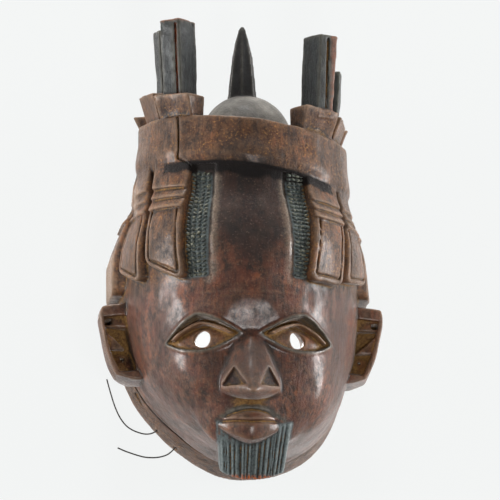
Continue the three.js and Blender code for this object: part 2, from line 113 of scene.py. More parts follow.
# %% [markdown]
# Every other node comes from one method, which sets the node's settings and then its inputs. It serves
# materials and Geometry Nodes alike.

# %% Nodes
class Nodes:
    """A node tree, of a material or of geometry, whose nodes are made by name."""

    def __init__(self, tree):
        self.tree = tree

    def node(self, kind, settings, *values, out=0, **named):
        """A new node: its settings first, then a number or a link for each input, by place or by name."""
        made = self.tree.nodes.new(kind)
        for key, value in settings.items():
            setattr(made, key, value)
        for key, value in list(enumerate(values)) + list(named.items()):
            if value is not None:
                self.feed(made.inputs[key], value)
        return Value(self, made.outputs[out])

    def feed(self, socket, value):
        if isinstance(value, Value):
            self.tree.links.new(value.socket, socket)
        else:
            socket.default_value = value


print("one method makes every node")

# %% [markdown]
# A material is a tree of nodes round one shader. All patterns here are noises in Object coordinates, so they
# stay on the piece when it is turned or exported. Colours are laid over one another like coats of paint.

# %% Paints
class Paint(Nodes):
    """A material, with the patterns that its colours are mixed from."""

    def __init__(self, name):
        self.material = bpy.data.materials.new(name)
        self.material.use_nodes = True
        super().__init__(self.material.node_tree)
        self.shader = self.tree.nodes["Principled BSDF"]

    def shade(self, **values):
        """Sets the shader's inputs to numbers or links. An underscore stands for a space in their names."""
        for name, value in values.items():
            self.feed(self.shader.inputs[name.replace("_", " ")], value)

    def attribute(self, name):
        return self.node("ShaderNodeAttribute", {"attribute_name": name}, out="Fac")

    def place(self, scale):
        """Object coordinates in millimetres, stretched by a scale for each axis."""
        where = self.node("ShaderNodeTexCoord", {}, out="Object")
        return self.node("ShaderNodeMapping", {}, where, Scale=tuple(1000 * s for s in scale))

    def noise(self, size, detail=3.0, rough=0.55, stretch=(1, 1, 1)):
        """A noise whose blotches are about size millimetres wide."""
        where = self.place(tuple(s / size for s in stretch))
        return self.node("ShaderNodeTexNoise", {}, Vector=where, Scale=1.0, Detail=detail, Roughness=rough)

    def mix(self, share, first, second):
        """A colour between two. A Mix node keeps its colours in inputs 6 and 7 and in output 2."""
        unused = [None] * 5
        return self.node("ShaderNodeMix", {"data_type": "RGBA"}, share, *unused, first, second, out=2)

    def coats(self, colour, *layers):
        """Lays colours over one another, each with its own share of cover."""
        for share, top in layers:
            colour = self.mix(share, colour, top)
        return colour

    def bump(self, height, strength, distance):
        """A fine relief, with its height in millimetres."""
        made = self.node("ShaderNodeBump", {}, Strength=strength, Distance=distance * MM, Height=height)
        self.shade(Normal=made)


def sheen(red, green, blue):
    """A screen colour out of 255, as the linear colour that shaders want."""
    linear = [((c / 255 + 0.055) / 1.055) ** 2.4 for c in (red, green, blue)]
    return (*linear, 1.0)


print("mid grey is", round(sheen(128, 128, 128)[0], 2), "in linear light")

# %% [markdown]
# Two tie cords leave holes in the rim, fall to the ground and lie there in a loose curve. A cord could be a
# swept mesh. A curve with a round bevel is plainer, and its points are those of the solid's tubes. The third
# point of each route is where the cord leaves the rim.

# %% Tie cords
CORD_RADIUS = 0.0006
CORD_UPPER = [
    (-50.5, -121.5, 7.5), (-56, -126, 7.5), (-61.5, -130.5, 7.5), (-65.5, -133.6, 7.2), (-68.5, -134.9, 5),
    (-71.5, -135.2, 2.4), (-75, -134.9, 0.9), (-80, -133.7, 0.65), (-85, -131.7, 0.65),
    (-89.5, -128.8, 0.65), (-93.2, -124.8, 0.65), (-96.2, -120.2, 0.65), (-98.8, -114.8, 0.65),
    (-101, -109, 0.65), (-103, -102.5, 0.65), (-105, -95.5, 0.65), (-107, -88, 0.65),
]
CORD_LOWER = [
    (-37.5, -134.5, 7.5), (-42, -139.5, 7.5), (-46.6, -144.6, 7.5), (-50.2, -148.7, 7.2),
    (-52.9, -151.2, 4.9), (-55.8, -152.9, 2.3), (-59.2, -154, 0.9), (-64, -155, 0.65),
    (-69.5, -155.3, 0.65), (-75, -154.9, 0.65), (-80.5, -153.6, 0.65), (-86, -151.9, 0.65),
    (-91.5, -150, 0.65), (-97.8, -147.3, 0.65),
]


def cord_paint():
    paint = Paint("black_cord")
    fibre = paint.noise(0.7, 2.0)
    colour = paint.mix(fibre.step(0.3, 0.75), sheen(24, 23, 22), sheen(78, 72, 66))
    paint.shade(Base_Color=colour, Roughness=0.85)
    paint.bump(fibre, 0.5, 0.2)
    return paint.material


def tie_cord(name, node, route, material):
    curve = bpy.data.curves.new(name, "CURVE")
    curve.dimensions = "3D"
    curve.bevel_depth = CORD_RADIUS
    curve.bevel_resolution = 2
    curve.resolution_u = 4
    curve.use_fill_caps = True
    spline = curve.splines.new("BEZIER")
    spline.bezier_points.add(len(route) - 1)
    for point, place in zip(spline.bezier_points, route):
        point.co = Vector(place) * MM
        point.handle_left_type = point.handle_right_type = "AUTO"
    piece = bpy.data.objects.new(name, curve)
    bpy.context.scene.collection.objects.link(piece)
    curve.materials.append(material)
    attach(piece, "root")
    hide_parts(node)


black_cord = cord_paint()
tie_cord("tie_cord_upper", "cord_upper", CORD_UPPER, black_cord)
tie_cord("tie_cord_lower", "cord_lower", CORD_LOWER, black_cord)

# %% [markdown]
# A carved surface has no straight parts to build from. It could be sculpted, or pushed out of a ball with
# modifiers. Here it is made as a carver thinks: a field holds, at every point of a fine grid, the distance
# to the surface, less than 0 inside the wood. Forms can then be added and cut in any number, and every edge
# can be sharp or soft. All sizes are in millimetres, and the main ones are those of the solid.

# %% The grid
STEP = 1.0
GRID_LOW = np.array((-125.0, -205.0, -4.0))
GRID_HIGH = np.array((125.0, 205.0, 216.0))
GRID_AXES = [np.arange(a, b, STEP, dtype=np.float32) for a, b in zip(GRID_LOW, GRID_HIGH)]
FAR_AWAY = 40.0
TINY = 1e-6
SIDES = (-1, 1)
CORNERS = ((-1, -1), (1, -1), (1, 1), (-1, 1))
wood = np.full([len(a) for a in GRID_AXES], FAR_AWAY, dtype=np.float32)


def patch(low, high):
    """The part of the grid between two corners, and the coordinates of its points."""
    spans = [slice(max(0, int((a - start) / STEP)), int((b - start) / STEP) + 2)
             for a, b, start in zip(low, high, GRID_LOW)]
    x, y, z = (axis[span] for axis, span in zip(GRID_AXES, spans))
    return tuple(spans), x[:, None, None], y[None, :, None], z[None, None, :]


print("grid of", wood.shape)

# %% [markdown]
# Two pieces of wood are joined by keeping the nearer surface, and what two forms share is found by keeping
# the farther one. Where the two surfaces lie close together the result is shifted a little, which rounds the
# edge between them. Every form below is a function that gives the distance to its surface.

# %% Joining and cutting
def join(a, b, soft=0.0):
    """The nearer of two surfaces, with a fillet where they meet."""
    near = np.minimum(a, b)
    if soft:
        near = near - np.maximum(soft - np.abs(a - b), 0) ** 2 / (4 * soft)
    return near


def meet(a, b, soft=0.0):
    """What two forms share, with a rounded edge."""
    return -join(-a, -b, soft)


def add(form, low, high, soft=0.0):
    """Joins a form to the wood inside a box, with a fillet."""
    spans, *place = patch(low, high)
    wood[spans] = join(wood[spans], form(*place), soft)


def cut(form, low, high, soft=0.0):
    """Takes a form out of the wood inside a box."""
    spans, *place = patch(low, high)
    wood[spans] = meet(wood[spans], -form(*place), soft)


def rise(low, high, value):
    """0 before low, 1 past high, and a smooth change between them. High may be the smaller number."""
    t = np.clip((value - low) / (high - low), 0, 1)
    return t * t * (3 - 2 * t)


def ball(away, radii):
    """Roughly the distance to a ball stretched along its axes, from how far places are from its middle."""
    q = [t / r for t, r in zip(away, radii)]
    k0 = np.sqrt(sum(t * t for t in q)) + 1e-4
    k1 = np.sqrt(sum((t / r) ** 2 for t, r in zip(q, radii))) + 1e-4
    return k0 * (k0 - 1) / k1


def rumple(size, seed):
    """Smooth random hills about size millimetres wide, from -1 to 1, over the whole grid."""
    counts = [int((b - a) / size) + 3 for a, b in zip(GRID_LOW, GRID_HIGH)]
    hills = np.random.default_rng(seed).uniform(-1, 1, counts).astype(np.float32)
    for k, axis in enumerate(GRID_AXES):
        at = (axis - GRID_LOW[k]) / size
        cell = at.astype(int)
        share = (at - cell).reshape([-1 if k == n else 1 for n in range(3)])
        share = (share * share * (3 - 2 * share)).astype(np.float32)
        hills = np.take(hills, cell, k) * (1 - share) + np.take(hills, cell + 1, k) * share
    return hills


print("a fillet of 4 mm between two touching walls adds", float(-join(0.0, 0.0, 4.0)), "mm")

# %% [markdown]
# The head is an egg over an upright wall. Seen from above its outline is a rounded oval, a little fuller at
# the right of the jaw. A groove runs under the jaw's edge, and below it the wall flares to the rim. A ball
# pushed into shape would need many loose points. A rule for the outline and one for the height need few.

# %% Head
HEAD_MIDDLE_Y = -40
HEAD_HALF_WIDTH = 101
HEAD_TO_NAPE = 112
HEAD_TO_CHIN = 132
WALL_TOP_Z = 60
BROW_Z = 188
CHEEK_Z = 177
JAW_SKEW = 7
RIM_FLARE = 2
GROOVE_DEPTH = 6


def egg(x, y, z, inset=0.0):
    """The distance to the head's surface, or to a plainer one that lies inset deeper."""
    across = x - JAW_SKEW * rise(-100, -165, y)
    along = y - HEAD_MIDDLE_Y
    radius = np.hypot(across, along) + 1e-3
    cos, sin = across / radius, along / radius
    power = np.where(sin < 0, np.where(cos > 0, 2.2, 1.85), 2.3)
    reach = np.where(sin < 0, HEAD_TO_CHIN, HEAD_TO_NAPE)
    spread = (np.abs(cos) / HEAD_HALF_WIDTH) ** power + (np.abs(sin) / reach) ** power
    outline = np.maximum(spread, TINY ** 2) ** (-1 / power) - inset
    down, up = np.maximum(0, -sin), np.maximum(0, sin)
    round_over = 2 + 1.2 * down ** 2 + 2.4 * down ** 4 + 2 * up ** 2
    height = CHEEK_Z + (BROW_Z - CHEEK_Z) * rise(-100, -48, y) - inset - WALL_TOP_Z
    side = radius / outline
    climb = np.maximum(z - WALL_TOP_Z, 0) / height
    level = np.maximum((side ** round_over + climb ** round_over) ** (1 / round_over), TINY)
    slope = np.hypot((side / level) ** (round_over - 1) / outline,
                     (climb / level) ** (round_over - 1) / height)
    distance = (level - 1) / np.maximum(slope, 1 / 140)
    if inset:
        return distance
    weight = rise(0.12, -0.12, sin)
    edge = 40 + 26 * np.abs(cos) ** 1.5
    profile = np.interp(z / edge, [0, 0.4, 0.78, 0.9, 0.96, 1.12, 1.4],
                        [RIM_FLARE, -1, -GROOVE_DEPTH * 0.8, -GROOVE_DEPTH, -1.5, 0.6, 0])
    return distance - profile.astype(np.float32) * weight


add(egg, (-110, -182, -4), (115, 80, 196))
print("head", 2 * HEAD_HALF_WIDTH, "mm wide and", HEAD_TO_CHIN + HEAD_TO_NAPE, "mm long")

# %% [markdown]
# The crown is round about an axis that runs along Y. A tapering barrel carries a broad band, and a smooth
# dome with a fluted spike stands in its middle. Each could be turned as on a lathe. Here the radius at each Y
# is a row of numbers. The barrel is joined at once, because the sheaths are measured from it. The band, the
# dome and the spike follow after the pieces that they overlap.

# %% Crown
AXIS_Z = 95
CROWN_RADIUS = 85
CROWN_FLOOR_Y = 100
BAND_RADIUS = 91
BAND_LOW_Y = 63
BAND_HIGH_Y = 104
BAND_SLOPE = -0.11
DOME_MIDDLE = (3, 101, 95)
DOME_RADIUS = 39
SPIKE_BASE_RADIUS = 13.5
SPIKE_BASE_Y = 132
CROWN_TIP_Y = 200.5
SPIKE_FLUTES = 7


def barrel(x, y, z):
    profile = np.interp(y, [-40, -36, -12, 16, 50, 94, 100], [1, 50, 72, 81, 84, 85, 80])
    side = np.hypot(x, z - AXIS_Z) - profile.astype(np.float32)
    return meet(side, y - (CROWN_FLOOR_Y + 1), 4)


def band(x, y, z):
    """The band slopes, sags at the sides of the head, and swells to a soft ridge in its lower half."""
    aside = (x / BAND_RADIUS) ** 2
    level = y - BAND_SLOPE * x
    low = BAND_LOW_Y - 8.5 * aside
    high = BAND_HIGH_Y - 3.5 * aside
    share = np.clip((level - low) / (high - low), 0, 1)
    swell = 1.6 * np.exp(-((share - 0.3) / 0.22) ** 2) - 3.5 * np.clip(0.22 - share, 0, 1) * 3 - 1.2 * share
    around_axis = np.arctan2(x, z - AXIS_Z)
    facet = 1.3 * np.abs(np.sin(around_axis * 4.5 + 0.4)) * rise(-20, -62, x)
    outside = np.hypot(x, z - AXIS_Z) - (BAND_RADIUS - 0.8 + swell - facet)
    inside = CROWN_RADIUS - 9 - np.hypot(x, z - AXIS_Z)
    return meet(meet(outside, inside), np.abs(level - (low + high) / 2) - (high - low) / 2, 1.6)


def dome(x, y, z):
    return np.sqrt(sum((a - m) ** 2 for a, m in zip((x, y, z), DOME_MIDDLE))) - DOME_RADIUS


def spike(x, y, z):
    share = (y - SPIKE_BASE_Y) / (CROWN_TIP_Y - SPIKE_BASE_Y)
    width = np.interp(share, [-0.3, 0, 0.3, 0.62, 0.85, 0.95, 1], [1.1, 1, 0.9, 0.68, 0.42, 0.26, 0.08])
    radius = np.hypot(x, z - AXIS_Z)
    turn = np.arctan2(z - AXIS_Z, x)
    flute = 1 - 0.2 * np.abs(np.sin(SPIKE_FLUTES * turn / 2 + 0.4)) ** 0.6
    side = (radius - SPIKE_BASE_RADIUS * width.astype(np.float32) * flute) * 0.95
    return meet(side, y - (CROWN_TIP_Y - 0.4), 1)


add(barrel, (-92, -42, -4), (92, 108, 186), 8)
bare_head = wood.copy()
print("wood in head and barrel", round(float((wood < 0).sum()) * STEP ** 3 / 1000), "cubic cm")

# %% [markdown]
# Much of the headdress is laid out on the curved surface of the head: across it by the turn round the
# crown's axis, down it by Y, and outward by the distance from that axis.

# %% Places round the crown
def around(turn, distance):
    """X and Z at an angle in degrees round the crown's axis."""
    return distance * math.sin(math.radians(turn)), AXIS_Z + distance * math.cos(math.radians(turn))


def rounded_plan(u, v, half_u, half_v, corner):
    """The distance to an oblong with round corners."""
    a, b = np.abs(u) - half_u + corner, np.abs(v) - half_v + corner
    return np.hypot(np.maximum(a, 0), np.maximum(b, 0)) + np.minimum(np.maximum(a, b), 0) - corner


def on_surface(turn, x, z):
    """The turn in radians away from a line down the surface, and the distance from the crown's axis."""
    angle = np.arctan2(x, z - AXIS_Z) - math.radians(turn)
    return (angle + math.pi) % (2 * math.pi) - math.pi, np.hypot(x, z - AXIS_Z)


print("crown's axis", AXIS_Z, "mm up")

# %% [markdown]
# Sheathed knives stand all round the crown. Below the band each shows its sheath: a thick tongue with a
# blunt foot, a sunk line round its panel, and straps across its head, each overlapping the next like a
# clapboard. One function makes them all from a row of sizes for each knife. In a row, turn is the sheath's
# place round the crown and at is its mouth's, where that differs. The rest are millimetres or degrees.

# %% Sheaths
SHEATH_HALF_WIDTH = 25.5
SHEATH_THICKNESS = 9
SHEATH_TOP_Y = BAND_LOW_Y + 10
STRAP_HEIGHT = 2.7
STRAP_LINES = (23, 31.5, 40)
STRAP_EDGE = 0.6
LINE_INSET = 5.2
KNIFE_OUT = 80
KNIVES = [
    dict(turn=-48, at=-46, half=22, foot=-37, slant=20, mouth_top=128, facing=-44, handle_top=194,
         width=19.5, depth=22, aside=-1, lean=-3),
    dict(turn=45.3, at=44, half=21, drift=-4.5, foot=-35, mouth_top=117, facing=34, handle_top=182,
         width=17, depth=23, aside=4.5, lean=3),
    dict(turn=-79, at=-77, half=22, foot=-32, slant=18, out=73, mouth_top=136, facing=-78, handle_top=192,
         width=15, depth=12, aside=3.5, lean=-3),
    dict(turn=76, foot=-31, slant=-8, drift=-4, out=74, mouth_top=115, facing=78, handle_top=159,
         width=14, depth=12, aside=4, lean=3),
    dict(turn=-108, foot=-32, out=78, mouth_top=124, facing=-108, thickness=13),
    dict(turn=107, foot=-32, out=76, mouth_top=113, facing=107, thickness=10),
    dict(turn=-138, foot=10, mouth_top=118, facing=-138, plain=True),
    dict(turn=138, foot=10, mouth_top=125, facing=138, plain=True),
]
SHEATH_KEYS = ("turn", "foot", "slant", "drift", "plain", "half", "thickness")


def add_sheath(turn, foot, slant=0, drift=0, plain=False, half=SHEATH_HALF_WIDTH,
               thickness=SHEATH_THICKNESS):
    """A sheath whose foot lies aside by drift, and rises by slant to the left, or to the right under zero."""
    middle_x, middle_z = around(turn, 95)
    spans, x, y, z = patch((middle_x - 45, foot - 16, max(-4, middle_z - 45)),
                           (middle_x + 45, 92, middle_z + 45))
    angle, radius = on_surface(turn, x, z)
    height = radius - (CROWN_RADIUS - 1) if plain else bare_head[spans]
    u = angle * np.minimum(radius, 112)
    u = u - drift * rise(60, -30, y)
    v = y - rise(-30, 60, y) * BAND_SLOPE * np.clip(x, -80, 80)
    half = half * (1 - 0.1 * rise(0, 70, v))
    v = v - (abs(slant) - slant * np.clip(u / half, -1, 1)) / 2 * rise(20, -20, v)
    plan = rounded_plan(u, v - (foot + SHEATH_TOP_Y) / 2, half, (SHEATH_TOP_Y - foot) / 2, 8)
    level = thickness - (thickness - 3.5) * rise(20, 75, v)
    if not plain:
        starts = np.array(STRAP_LINES)
        edges = np.repeat(starts, 2) + np.tile((-STRAP_EDGE, STRAP_EDGE), len(starts))
        tread = np.interp(v, edges, [0, 1, 0.1, 1, 0.1, 1])
        tread = np.where(v > starts[-1] + STRAP_EDGE, 1 - (v - starts[-1]) / 30, tread)
        level = level + STRAP_HEIGHT * np.clip(tread, 0, 1)
    form = meet(plan, height - level, 2.2)
    if not plain:
        line = np.maximum(np.abs(plan + LINE_INSET) - 0.9, v - (STRAP_LINES[0] - 1))
        form = meet(form, -meet(line, level - 2 - height, 0.5), 0.6)
    wood[spans] = join(wood[spans], form, 0.8)


for knife in KNIVES:
    add_sheath(**{key: knife[key] for key in SHEATH_KEYS if key in knife})
print("sheaths", len(KNIVES))

# %% [markdown]
# Two strips of hair run up from the temples under the band. Here only their flat beds are cut, and the plaits
# are laid on them later. The forehead between them is a smooth plate, raised a little at its sides, and the
# band then closes over the tops of all these pieces.

# %% Hair beds, forehead and band
HAIR_LEFT = dict(turn=-30.5, foot=12.5, head=13.5)
HAIR_RIGHT = dict(turn=28, foot=8.5, head=12.5)
HAIR_BED = 0.4
HAIR_FOOT_Y = -34
HAIR_TOP_Y = BAND_LOW_Y + 8
HAIR_OUT = 90
FOREHEAD_TURN = (HAIR_LEFT["turn"] + HAIR_RIGHT["turn"]) / 2
FOREHEAD_SPREAD = math.radians(28)


def hair_half_width(strip, y):
    return strip["foot"] + (strip["head"] - strip["foot"]) * rise(HAIR_FOOT_Y, 60, y)


def hair_plan(strip, x, y, z):
    """How far each place is outside a hair strip's outline, seen from the crown's axis."""
    angle, _ = on_surface(strip["turn"], x, z)
    middle_y, half_y = (HAIR_FOOT_Y + HAIR_TOP_Y) / 2, (HAIR_TOP_Y - HAIR_FOOT_Y) / 2
    return rounded_plan(angle * HAIR_OUT, y - middle_y, hair_half_width(strip, y), half_y, 3)


def both_strips(x, y, z):
    return np.minimum(hair_plan(HAIR_LEFT, x, y, z), hair_plan(HAIR_RIGHT, x, y, z))


def add_hair_bed(strip):
    middle_x, middle_z = around(strip["turn"], HAIR_OUT)
    spans, x, y, z = patch((middle_x - 22, HAIR_FOOT_Y - 6, middle_z - 26),
                           (middle_x + 22, 90, middle_z + 22))
    bed = meet(hair_plan(strip, x, y, z), bare_head[spans] - HAIR_BED, 1)
    wood[spans] = join(wood[spans], bed, 0.8)


def add_forehead():
    spans, x, y, z = patch((-60, HAIR_FOOT_Y - 14, 150), (60, 78, 196))
    level = 2.4 * rise(-44, 6, y)
    angle, _ = on_surface(FOREHEAD_TURN, x, z)
    sides = np.maximum(1.5 - both_strips(x, y, z), np.abs(angle * HAIR_OUT) - FOREHEAD_SPREAD * HAIR_OUT)
    wood[spans] = join(wood[spans], meet(sides, bare_head[spans] - level, 5), 1.5)


add_hair_bed(HAIR_LEFT)
add_hair_bed(HAIR_RIGHT)
add_forehead()
add(band, (-98, 50, -4), (98, 118, 192), 0.8)
print("band from", BAND_LOW_Y, "to", BAND_HIGH_Y, "mm along")

# %% [markdown]
# Above the band each sheath's mouth stands up as a flared block, and the front four hold a square handle.
# Both are boxes whose width grows towards the top, turned about an axis along Y to face outward. The dome and
# the spike close the crown.

# %% Mouths, handles, dome and spike
MOUTH_FOOT_SIZE = (33, 12)
MOUTH_TOP_SIZE = (37, 24)
MOUTH_FOOT_Y = BAND_HIGH_Y - 12
MOUTH_SLOPE = -0.06
HANDLE_SLOPE = -0.03


def tapered_block(at_low, at_high, size_low, size_high, facing, low_y, high_y, slope=0.0):
    c, s = math.cos(math.radians(facing)), math.sin(math.radians(facing))

    def form(x, y, z):
        share = np.clip((y - low_y) / (high_y - low_y), 0, 1)
        dx = x - (at_low[0] + (at_high[0] - at_low[0]) * share)
        dz = z - (at_low[1] + (at_high[1] - at_low[1]) * share)
        u, w = dx * c - dz * s, dx * s + dz * c
        half_u = (size_low[0] + (size_high[0] - size_low[0]) * share) / 2
        half_w = (size_low[1] + (size_high[1] - size_low[1]) * share) / 2
        sides = meet(np.abs(u) - half_u, np.abs(w) - half_w, 1.2)
        ends = np.maximum(low_y - y, y - high_y - slope * u)
        return meet(sides, ends, 1.2)

    return form


def block_box(x, z, reach):
    return (x - reach, MOUTH_FOOT_Y - 6, z - reach), (x + reach, 204, z + reach)


def add_knife(turn, mouth_top, facing, at=None, out=KNIFE_OUT, handle_top=None, width=0, depth=0, aside=0,
              lean=0, **of_sheath):
    """A sheath's mouth and, where there is one, the handle that stands in it."""
    turn = at or turn
    low, high = around(turn, out - 4), around(turn, out + 2)
    mouth = tapered_block(low, high, MOUTH_FOOT_SIZE, MOUTH_TOP_SIZE, facing,
                          MOUTH_FOOT_Y + BAND_SLOPE * low[0], mouth_top, MOUTH_SLOPE)
    add(mouth, *block_box(*low, 32), 0.5)
    if not handle_top:
        return
    base_x, base_z = around(turn, out - 2)
    base_x += aside
    handle = tapered_block((base_x, base_z), (base_x + lean, base_z), (width, depth),
                           (width * 1.1, depth * 1.08), facing, mouth_top - 8, handle_top - 0.6, HANDLE_SLOPE)
    add(handle, *block_box(base_x, base_z, 25))


for knife in KNIVES:
    add_knife(**knife)
add(dome, (-44, 60, 50), (46, 144, 140), 1)
add(spike, (-18, 120, 76), (18, 203, 114), 1.5)
print("handles", sum("handle_top" in knife for knife in KNIVES))

# %% [markdown]
# Ears and nose are blocks with odd corners. A hull takes only the corners: its sides are the planes through
# every three of them that have all the others behind.

# %% Hulls
def hull(corners, soft=1.0):
    """A block between corners, as a form and the box round it."""
    corners = np.array(corners, float)
    planes = {}
    for i in range(len(corners)):
        for j in range(i + 1, len(corners)):
            for k in range(j + 1, len(corners)):
                normal = np.cross(corners[j] - corners[i], corners[k] - corners[i])
                size = np.linalg.norm(normal)
                if size < TINY:
                    continue
                normal = normal / size
                sides = corners @ normal - normal @ corners[i]
                for way in (1, -1):
                    if (way * sides).max() < TINY:
                        same = tuple(np.round((*(way * normal), way * normal @ corners[i]), 3))
                        planes[same] = (way * normal, way * float(normal @ corners[i]))

    def form(x, y, z):
        body = None
        for normal, offset in planes.values():
            side = (normal[0] * x + normal[1] * y + normal[2] * z - offset).astype(np.float32)
            body = side if body is None else meet(body, side, soft)
        return body

    return form, corners.min(0) - 4, corners.max(0) + 4


def add_carved(block, cuts, soft):
    """Adds a hull to the wood after other hulls are cut from it alone."""
    form, low, high = block
    spans, *place = patch(low, high)
    body = form(*place)
    for away, _, _ in cuts:
        body = meet(body, -away(*place), 0.8)
    wood[spans] = join(wood[spans], body, soft)


def slice_at(outline, z):
    """The corners of a flat outline at one height."""
    return [(x, y, z) for x, y in outline]


print("a square slice has", len(slice_at(CORNERS, 0)), "corners")

# %% [markdown]
# An ear is a block with a bevelled top. Its front is sunk inside a narrow rim, a fold crosses it aslant, and
# two small holes are bored in it.

# %% Ears
EAR_REACH = 121
EAR_REAR = [(84, -104), (96, -104), (107, -92), (111, -70), (113, -52), (108, -40), (84, -34)]
EAR_FRONT = [(84, -106), (93, -106), (107, -102), (113.5, -88), (118, -70), (EAR_REACH, -50),
             (119, -42), (86, -38)]
EAR_HOLES = ((113.5, -56, 3), (101, -87, 1.6))


def ear(side):
    """One ear: 1 makes the right one, and -1 mirrors it."""
    def place(points):
        return [(side * x, y, z) for x, y, z in points]

    block = hull(place(slice_at(EAR_REAR, 46) + slice_at(EAR_FRONT, 62) + slice_at(EAR_FRONT, 90)), 1.5)
    bevel = [(80, -30, 80), (80, -48, 100), (125, -30, 76), (125, -54, 102), (125, -30, 102), (80, -30, 100)]
    shelf = slice_at([(88, -98), (103, -99), (111, -84), (116, -64), (117, -52), (100, -50), (88, -56)], 87.5)
    shelf += slice_at([(86, -100), (104, -101), (113, -85), (118, -65), (119, -50), (99, -48), (86, -54)], 98)
    fold = [(86, -70, 76), (96, -82, 77), (115, -66, 79), (116, -60, 80), (104, -63, 78), (86, -62, 76)]
    fold += [(x, y + 1, 96) for x, y, _ in fold]
    lobe = [(90, -97, 85), (104, -98, 86), (112, -80, 81), (98, -80, 77), (90, -80, 78)]
    lobe += [(x, y, 97) for x, y, _ in lobe]
    cuts = [hull(place(shape), 0.8) for shape in (bevel, shelf, fold, lobe)]
    for x, y, half in EAR_HOLES:
        pin = slice_at([(x + a * half, y + b * half) for a, b in CORNERS], 68)
        cuts.append(hull(place(pin + [(a, b, 96) for a, b, _ in pin]), 1))
    add_carved(block, cuts, 1.5)


for side in SIDES:
    ear(side)
print("ears reach", EAR_REACH, "mm to each side")

# %% [markdown]
# The face follows the school's own type, calm and even. Between the foot of the hair and the tip of the beard
# the eyes lie a third of the way down, and the nose ends near two thirds. An eye is an almond cut into the
# face, with a lens in it and a raised lid round it. Its outline is two curves that meet at the corners, drawn
# in a plane that is turned with the eye.

# %% Eyes
EYE = dict(x=41, y=-84, z=168, half_length=33, rise=16, fall=12, droop=-4, turn=27, tip=6)
EYE_LENS = (31, 12, 9)


def eye_place(side, x, y, z):
    """Places as seen from an eye: across it, up it, and out of it."""
    turn = Matrix.Rotation(math.radians(side * EYE["turn"]), 3, "Y")
    turn = turn @ Matrix.Rotation(math.radians(-EYE["tip"]), 3, "X")
    turn = np.array(turn @ Matrix.Rotation(math.radians(side * EYE["droop"]), 3, "Z"))
    away = (x - side * EYE["x"], y - EYE["y"], z - EYE["z"])
    return [sum(turn[k, n] * away[k] for k in range(3)) for n in range(3)]


def almond(a, b):
    """How far a place is outside the eye's outline, which comes to a blunt peak over the pupil."""
    along = np.abs(a / EYE["half_length"])
    over, under = 1 - along ** 1.45, 1 - along ** 1.9
    return meet((b - EYE["rise"] * over) * 0.85, (-b - EYE["fall"] * under) * 0.85, 1)


def eye(side):
    middle_x, middle_y = side * EYE["x"], EYE["y"]
    spans, *place = patch((middle_x - 42, middle_y - 26, 120), (middle_x + 42, middle_y + 30, 196))
    a, b, c = eye_place(side, *place)
    skin = wood[spans]
    shape = almond(a, b)
    lid = meet(np.abs(shape - 0.8) - 1.7, skin - np.where(b > 0, 1.5, 1.0), 1.4)
    skin = join(skin, lid, 2.5)
    floor = -4.5 - 2.5 * rise(0, 12, b)
    skin = meet(skin, -meet(shape, floor - c, 1), 1)
    shelf = meet(np.abs(shape + 3.4) - 1.3, c - 0.5 - 3.2 * rise(-2, 6, b), 0.8)
    skin = join(skin, np.maximum(shelf, -b), 0.6)
    lens = meet(ball((a, b + 2, c + 9), EYE_LENS), shape - 1, 0.5)
    wood[spans] = join(skin, lens, 0.5)


for side in SIDES:
    eye(side)
print("eyes", 2 * EYE["half_length"], "mm long")

# %% [markdown]
# The nose is a wedge with a narrow ridge, and a triangular hollow is cut over each of its wings.

# %% Nose
NOSE_TIP_Z = 212


def both(x, y, z):
    """A corner on each side of the face."""
    return [(-x, y, z), (x, y, z)]


def nose():
    ridge = NOSE_TIP_Z - 2.5
    wedge = hull(both(4, -72, 175) + both(13, -92, 180) + both(15, -110, 189) + both(2.5, -134, ridge)
                 + both(2, -139, NOSE_TIP_Z) + both(27, -126, 178) + both(26, -132.5, 175)
                 + both(4, -142.5, 190) + both(20, -100, 155) + both(20, -133, 155), 2.2)
    hollows = [hull([
        (side * 24.5, -128.5, 178), (side * 25, -128.5, 198), (side * 4.5, -132.5, 216),
        (side * 5.5, -132, 188), (side * 16, -107, 212), (side * 14.5, -113, 187),
    ], 0.8) for side in SIDES]
    add_carved(wedge, hollows, 4)


nose()
print("nose tip", NOSE_TIP_Z, "mm up")

# %% [markdown]
# A soft swelling carries the mouth. The beard is a spade that juts from the chin under it, ribbed from root
# to edge. Its ribs are a cosine across its width, a little uneven, as a knife leaves them.

# %% Muzzle and beard
MUZZLE_MIDDLE = (1, -148, 144)
MUZZLE_RADII = (42, 30, 24)
BEARD_RIDGES = 17
BEARD_HALF_WIDTH = 27
BEARD_THICKNESS = 20
BEARD_TIP_Y = -200.5
BEARD_ROOT = (5, -158, 167)
BEARD_DROP = 32
BEARD_BOW = 6


def muzzle(x, y, z):
    """The soft swelling that carries the lips."""
    return ball([a - m for a, m in zip((x, y, z), MUZZLE_MIDDLE)], MUZZLE_RADII)


